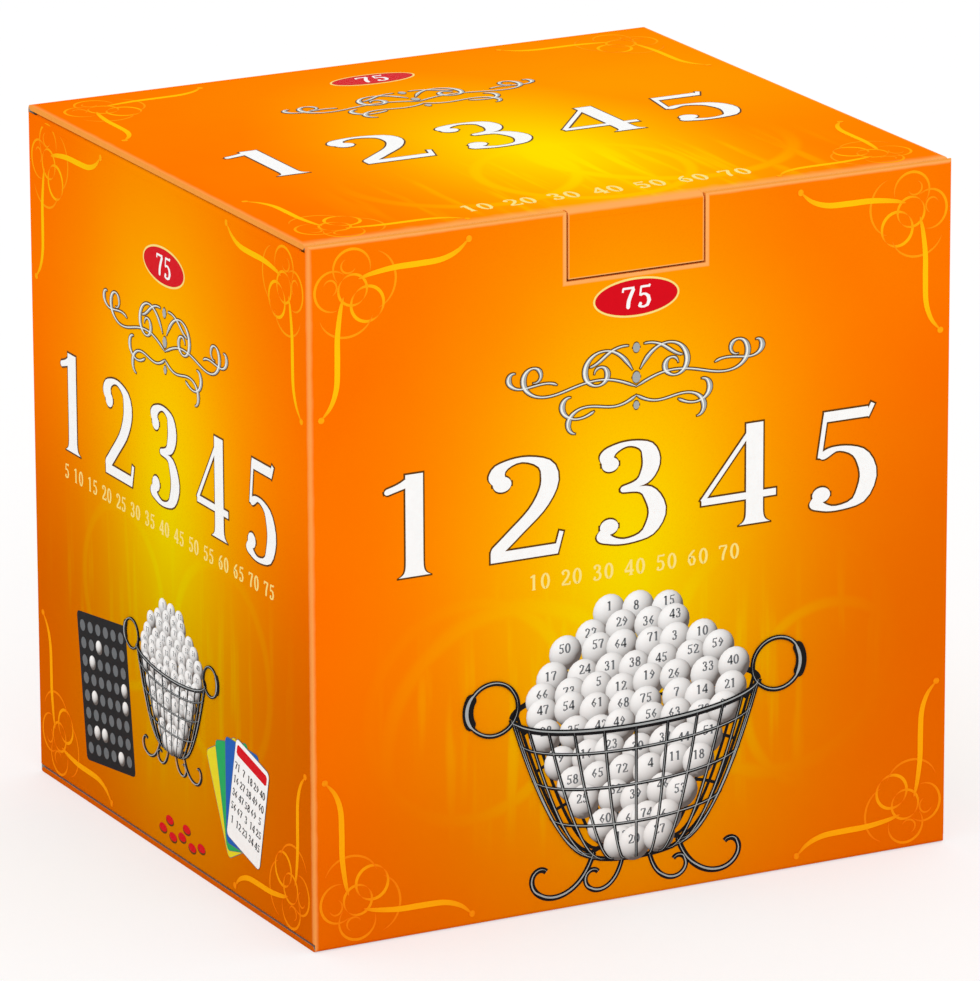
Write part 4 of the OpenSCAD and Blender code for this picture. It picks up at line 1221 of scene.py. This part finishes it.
def turned_at_random():
    """A random turn, as the orthogonal part of a random matrix."""
    spin, _ = np.linalg.qr(random.normal(size=(3, 3)))
    return spin * np.sign(np.linalg.det(spin))


def on_ball(centre, spin, points, height):
    """Lays drawing points on a ball: (x, y, sqrt(r^2 - x^2 - y^2)), turned and moved to its place."""
    points = np.asarray(points, float)
    z = np.sqrt(np.maximum(ball_r**2 - (points**2).sum(-1), 0))
    outwards = np.concatenate([points, z[..., None]], -1) / ball_r
    return centre + mm * (ball_r + height) * outwards @ spin


# %% Numbered balls
AROUND, TILTS = 24, 14
NUMBER_TALL = 4.6
TURNABLE = {6, 9, 66, 68}
tilt = np.linspace(0, np.pi, TILTS)
shell, shell_faces = turned(np.stack([np.sin(tilt), np.cos(tilt)], 1), AROUND)
underline = filled_card((0, -NUMBER_TALL / 2 - 1.1), 3.6, 0.5, 0.2, 7)
ball_parts, number_parts = [], []
for number, centre in zip(random.permutation(BALLS) + 1, (ball_low + ball_high) / 2):
    spin = turned_at_random()
    ball_parts.append((centre + ball_r * mm * shell @ spin, shell_faces))
    drawn = numbers_at([(number, 0.2, -NUMBER_TALL / 2)], NUMBER_TALL, thin=0.10, thick=0.20, count=9)
    if number in TURNABLE:
        drawn.append(underline)
    number_parts += stroke_parts(partial(on_ball, centre, spin), drawn, 0, FILM, 0.001)


def moulded(name, tint, colours, gloss, rough, relief=None, **sockets):
    """A smooth finish from three noises, each given by its scale and detail. Tint moves the colour
    between two, gloss adds up to a range to the least roughness, and relief moves the surface by its
    depth in metres."""
    made = Finish(name, **sockets)
    least, more = rough
    made.set(
        Base_Color=made.blend(made.noise(*tint), *colours),
        Roughness=made.scaled(made.noise(*gloss), more, least),
    )
    if relief:
        *texture, depth = relief
        made.bump(made.noise(*texture), depth)
    return made


ball_white = moulded(
    "ball_white", (240, 4), ((0.80, 0.80, 0.78), (0.93, 0.93, 0.92)), (240, 4), (0.12, 0.14),
    Specular_IOR_Level=0.5,
)
balls = add_piece("numbered_balls", ball_parts, ball_white, "carton", smooth=True)
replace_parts(balls, "balls")
add_piece("ball_numbers", number_parts, black_ink, "carton")
print("balls:", BALLS, "of radius %.1f mm" % ball_r)

# %% [markdown]
# ## Wire and black plastic
# The cage, its stand and the crank are bent steel wire under black lacquer, which runs a little thicker
# and thinner along a wire. A low noise moves its gloss, and a fine one gives the skin of sprayed
# lacquer. The board, the tray and the grip are moulded plastic with a fine matte grain.

# %% Lacquer and plastic
lacquer = moulded(
    "black_lacquer", (130, 3), ((0.005, 0.005, 0.006), (0.022, 0.021, 0.022)), (130, 3), (0.18, 0.22),
    (1500, 2, 0.00002), Specular_IOR_Level=0.5, Coat_Weight=0.3, Coat_Roughness=0.12,
)
plastic = moulded(
    "black_plastic", (60, 3), ((0.012, 0.012, 0.013), (0.027, 0.027, 0.029)), (2600, 3), (0.38, 0.25),
    (2600, 3, 0.00003), Specular_IOR_Level=0.5,
)
WIRE_NODES = (
    "drum_hoops", "drum_bars", "end_loops_left", "end_loops_right", "hub_left", "hub_right", "hatch_panel",
    "hatch_clips", "hatch_latch", "axle_crank", "front_frame", "rear_frame", "foot_loop_left",
    "foot_loop_right", "chute_rails", "ball_catch",
)
PLASTIC_NODES = ("grip", "master_board", "chip_tray")
for finish, group in ((lacquer, WIRE_NODES), (plastic, PLASTIC_NODES)):
    for node in group:
        wear(node, finish)
print("wire nodes: %d, plastic nodes: %d" % (len(WIRE_NODES), len(PLASTIC_NODES)))

# %% [markdown]
# ## Cards and paper
# The stored cards are coloured stock with a paler core that shows on their cut edges. The front card of
# each pad has a printed grid of five by five numbers, drawn with the same strokes as the carton. In each
# column the numbers come from a fifth of the set, and the middle place is free.

# %% Stock
STOCK_FIBRES, STOCK_CLOUDS = (1100, 4), (45, 4)


def stock(name, colour, core, roughness=0.5):
    """Colour on the two broad sides, which face along y, and the core on the cut edges."""
    made = Finish(name, roughness=roughness, Specular_IOR_Level=0.25)
    broad = made.step(made.math("ABSOLUTE", made.axes("Normal")[1]), 0.4, 0.6)
    fibre = made.noise(*STOCK_FIBRES)
    edge = made.blend(fibre, darker(core, 0.85), core)
    side = made.blend(made.noise(*STOCK_CLOUDS), darker(colour, 0.94), colour)
    made.set(Base_Color=made.blend(broad, edge, side))
    made.bump(fibre, FIBRE_RELIEF)
    return made


def paler(colour, share):
    """A colour moved towards white by a share."""
    return tuple(c + (1 - c) * share for c in colour)


CARDS = {
    "yellow": (0.84, 0.60, 0.012), "white": (0.88, 0.88, 0.86), "blue": (0.006, 0.085, 0.40),
    "green": (0.008, 0.30, 0.055),
}
for colour_name, colour in CARDS.items():
    wear("card_pad_" + colour_name, stock("card_" + colour_name, colour, paler(colour, 0.12)))
wear("rules_leaflet", stock("leaflet_paper", (0.90, 0.90, 0.88), (0.86, 0.85, 0.82), 0.7))


def add_front(face, node):
    """Adds a face for drawings on the front of a stored piece, whose origin is the middle of its foot,
    and returns its half width and its height in mm."""
    node_low, node_high = (np.array(corner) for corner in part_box(node))
    origin = np.array([(node_low[0] + node_high[0]) / 2, node_low[1], node_low[2]])
    FACES[face] = (origin, (1, 0, 0), (0, 0, 1), "carton")
    return (node_high - node_low)[[0, 2]] / mm / [2, 1]


# %% Number cards
GRID, CELL, GRID_FOOT, LINE_WIDE = 5, 22, 14, 0.6
# How much wider than the grid its panel is, and the height and lift of the coloured band
PANEL_MORE, BAND_TALL, BAND_LIFT = 4, 20, 17
INK_FILM = 1.3 * FILM
half, grid_top = GRID * CELL / 2, GRID_FOOT + GRID * CELL
middle, panel_wide, in_column = GRID_FOOT + half, 2 * half + PANEL_MORE, BALLS // GRID
lines = [((-half, y), (half, y)) for y in GRID_FOOT + CELL * np.arange(GRID + 1)]
lines += [((x, GRID_FOOT), (x, grid_top)) for x in CELL * np.arange(GRID + 1) - half]
rules = [(np.array(line, float), np.full(2, LINE_WIDE / 2)) for line in lines]
panel = [filled_card((0, middle), panel_wide, panel_wide, 3, 15)]
band = [filled_card((0, grid_top + BAND_LIFT), panel_wide, BAND_TALL, 4, 15)]
free_place = [filled_oval((0, middle), 7, 7)]
band_inks = {"yellow": red_ink, "white": print_blue, "blue": white_ink, "green": cream_ink}
for colour_name in CARDS:
    face = "card_" + colour_name
    add_front(face, "card_pad_" + colour_name)
    picks = [random.permutation(in_column)[:GRID] + 1 + in_column * column for column in range(GRID)]
    figures = numbers_at([
        (picks[column][row], (column + 0.5) * CELL - half + 0.4, GRID_FOOT + (row + 0.5) * CELL - 5)
        for column in range(GRID) for row in range(GRID) if (column, row) != (GRID // 2, GRID // 2)
    ], 10, thin=0.06, thick=0.17, count=12)
    print_layers(face, [
        ("panel", panel, white_ink, 0, FILM), ("band", band, band_inks[colour_name], 0, FILM),
        ("free_place", free_place, red_ink, FILM, INK_FILM), ("rules", rules, black_ink, FILM, INK_FILM),
        ("figures", figures, black_ink, FILM, INK_FILM, 0.0002),
    ], slot=colour_name + "_card")
print("cards: %d colours, %d numbers on each" % (len(CARDS), GRID**2 - 1))

# %% Master board and leaflet
PLACE_PITCH, PLACE_COLUMNS, BOARD_RIM = 16, 10, 6
_, board_tall = add_front("board", "master_board")
first_u, first_v = -(PLACE_COLUMNS - 1) / 2 * PLACE_PITCH, board_tall - BOARD_RIM - PLACE_PITCH
figures = numbers_at([
    (i + 1, first_u + i % PLACE_COLUMNS * PLACE_PITCH, first_v - i // PLACE_COLUMNS * PLACE_PITCH - 1.2)
    for i in range(BALLS)
], 2.4, thin=0.1, thick=0.2, count=7)
print_on("board", "figures", figures, white_ink, 0, FILM, 0.0001, slot="black_plastic")

LINES, LINE_PITCH, LINE_HALF, TOO_LONG = 24, 4.2, 0.45, 0.97
LEFT_MARGIN, MARGINS, TOP_MARGIN = 14, 24, 34
leaf_half, leaf_tall = add_front("leaflet", "rules_leaflet")
start, longest = LEFT_MARGIN - leaf_half, 2 * leaf_half - MARGINS
levels = leaf_tall - TOP_MARGIN - LINE_PITCH * np.arange(LINES)
text_lines = [
    (np.array([(start, v), (start + longest * length, v)]), np.full(2, LINE_HALF))
    for length, v in zip(random.uniform(0.55, 1.0, LINES), levels) if length < TOO_LONG
]
heading = centred_numerals(TITLE, 0, leaf_tall - 24, 11, stretch=1.2, count=16)
print_layers("leaflet", [
    ("text_lines", text_lines, grey_ink, 0, FILM), ("heading", heading, orange_ink, 0, FILM),
], slot="leaflet_paper")
print("leaflet: %d lines of grey print" % len(text_lines))

# %% [markdown]
# ## Counters
# A counter is a pressed disc with a raised rim on both sides. Its profile is turned about its own axis,
# as on a lathe, by the function that also makes the balls. The CAD node gives the places of all 60.

# %% Counters with a rim
RIM_FROM, RIM_TO, SUNK, EDGE_CUT = 0.70, 0.76, 0.25, 0.05
chip_low, chip_high = boxes_of("chips", CHIPS)
chip_r, chip_t = (chip_high - chip_low)[0, [0, 2]] / mm / [2, 1]
upper = [(0, 0.5 - SUNK), (RIM_FROM, 0.5 - SUNK), (RIM_TO, 0.5), (1 - EDGE_CUT, 0.5), (1, 0.5 - SUNK / 2)]
profile = np.array(upper + [(r, -h) for r, h in upper[::-1]]) * [chip_r, chip_t]
chip, chip_faces = turned(profile, 36)
parts = [(centre + mm * chip, chip_faces) for centre in (chip_low + chip_high) / 2]
red_plastic = moulded(
    "red_plastic", (180, 3), ((0.56, 0.002, 0.006), (0.76, 0.006, 0.012)), (600, 3), (0.16, 0.2),
    Specular_IOR_Level=0.5, Coat_Weight=0.2, Coat_Roughness=0.1,
)
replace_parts(add_piece("counters", parts, red_plastic, "carton"), "chips")
print("counters: %d of %.1f by %.2f mm" % (CHIPS, 2 * chip_r, chip_t))
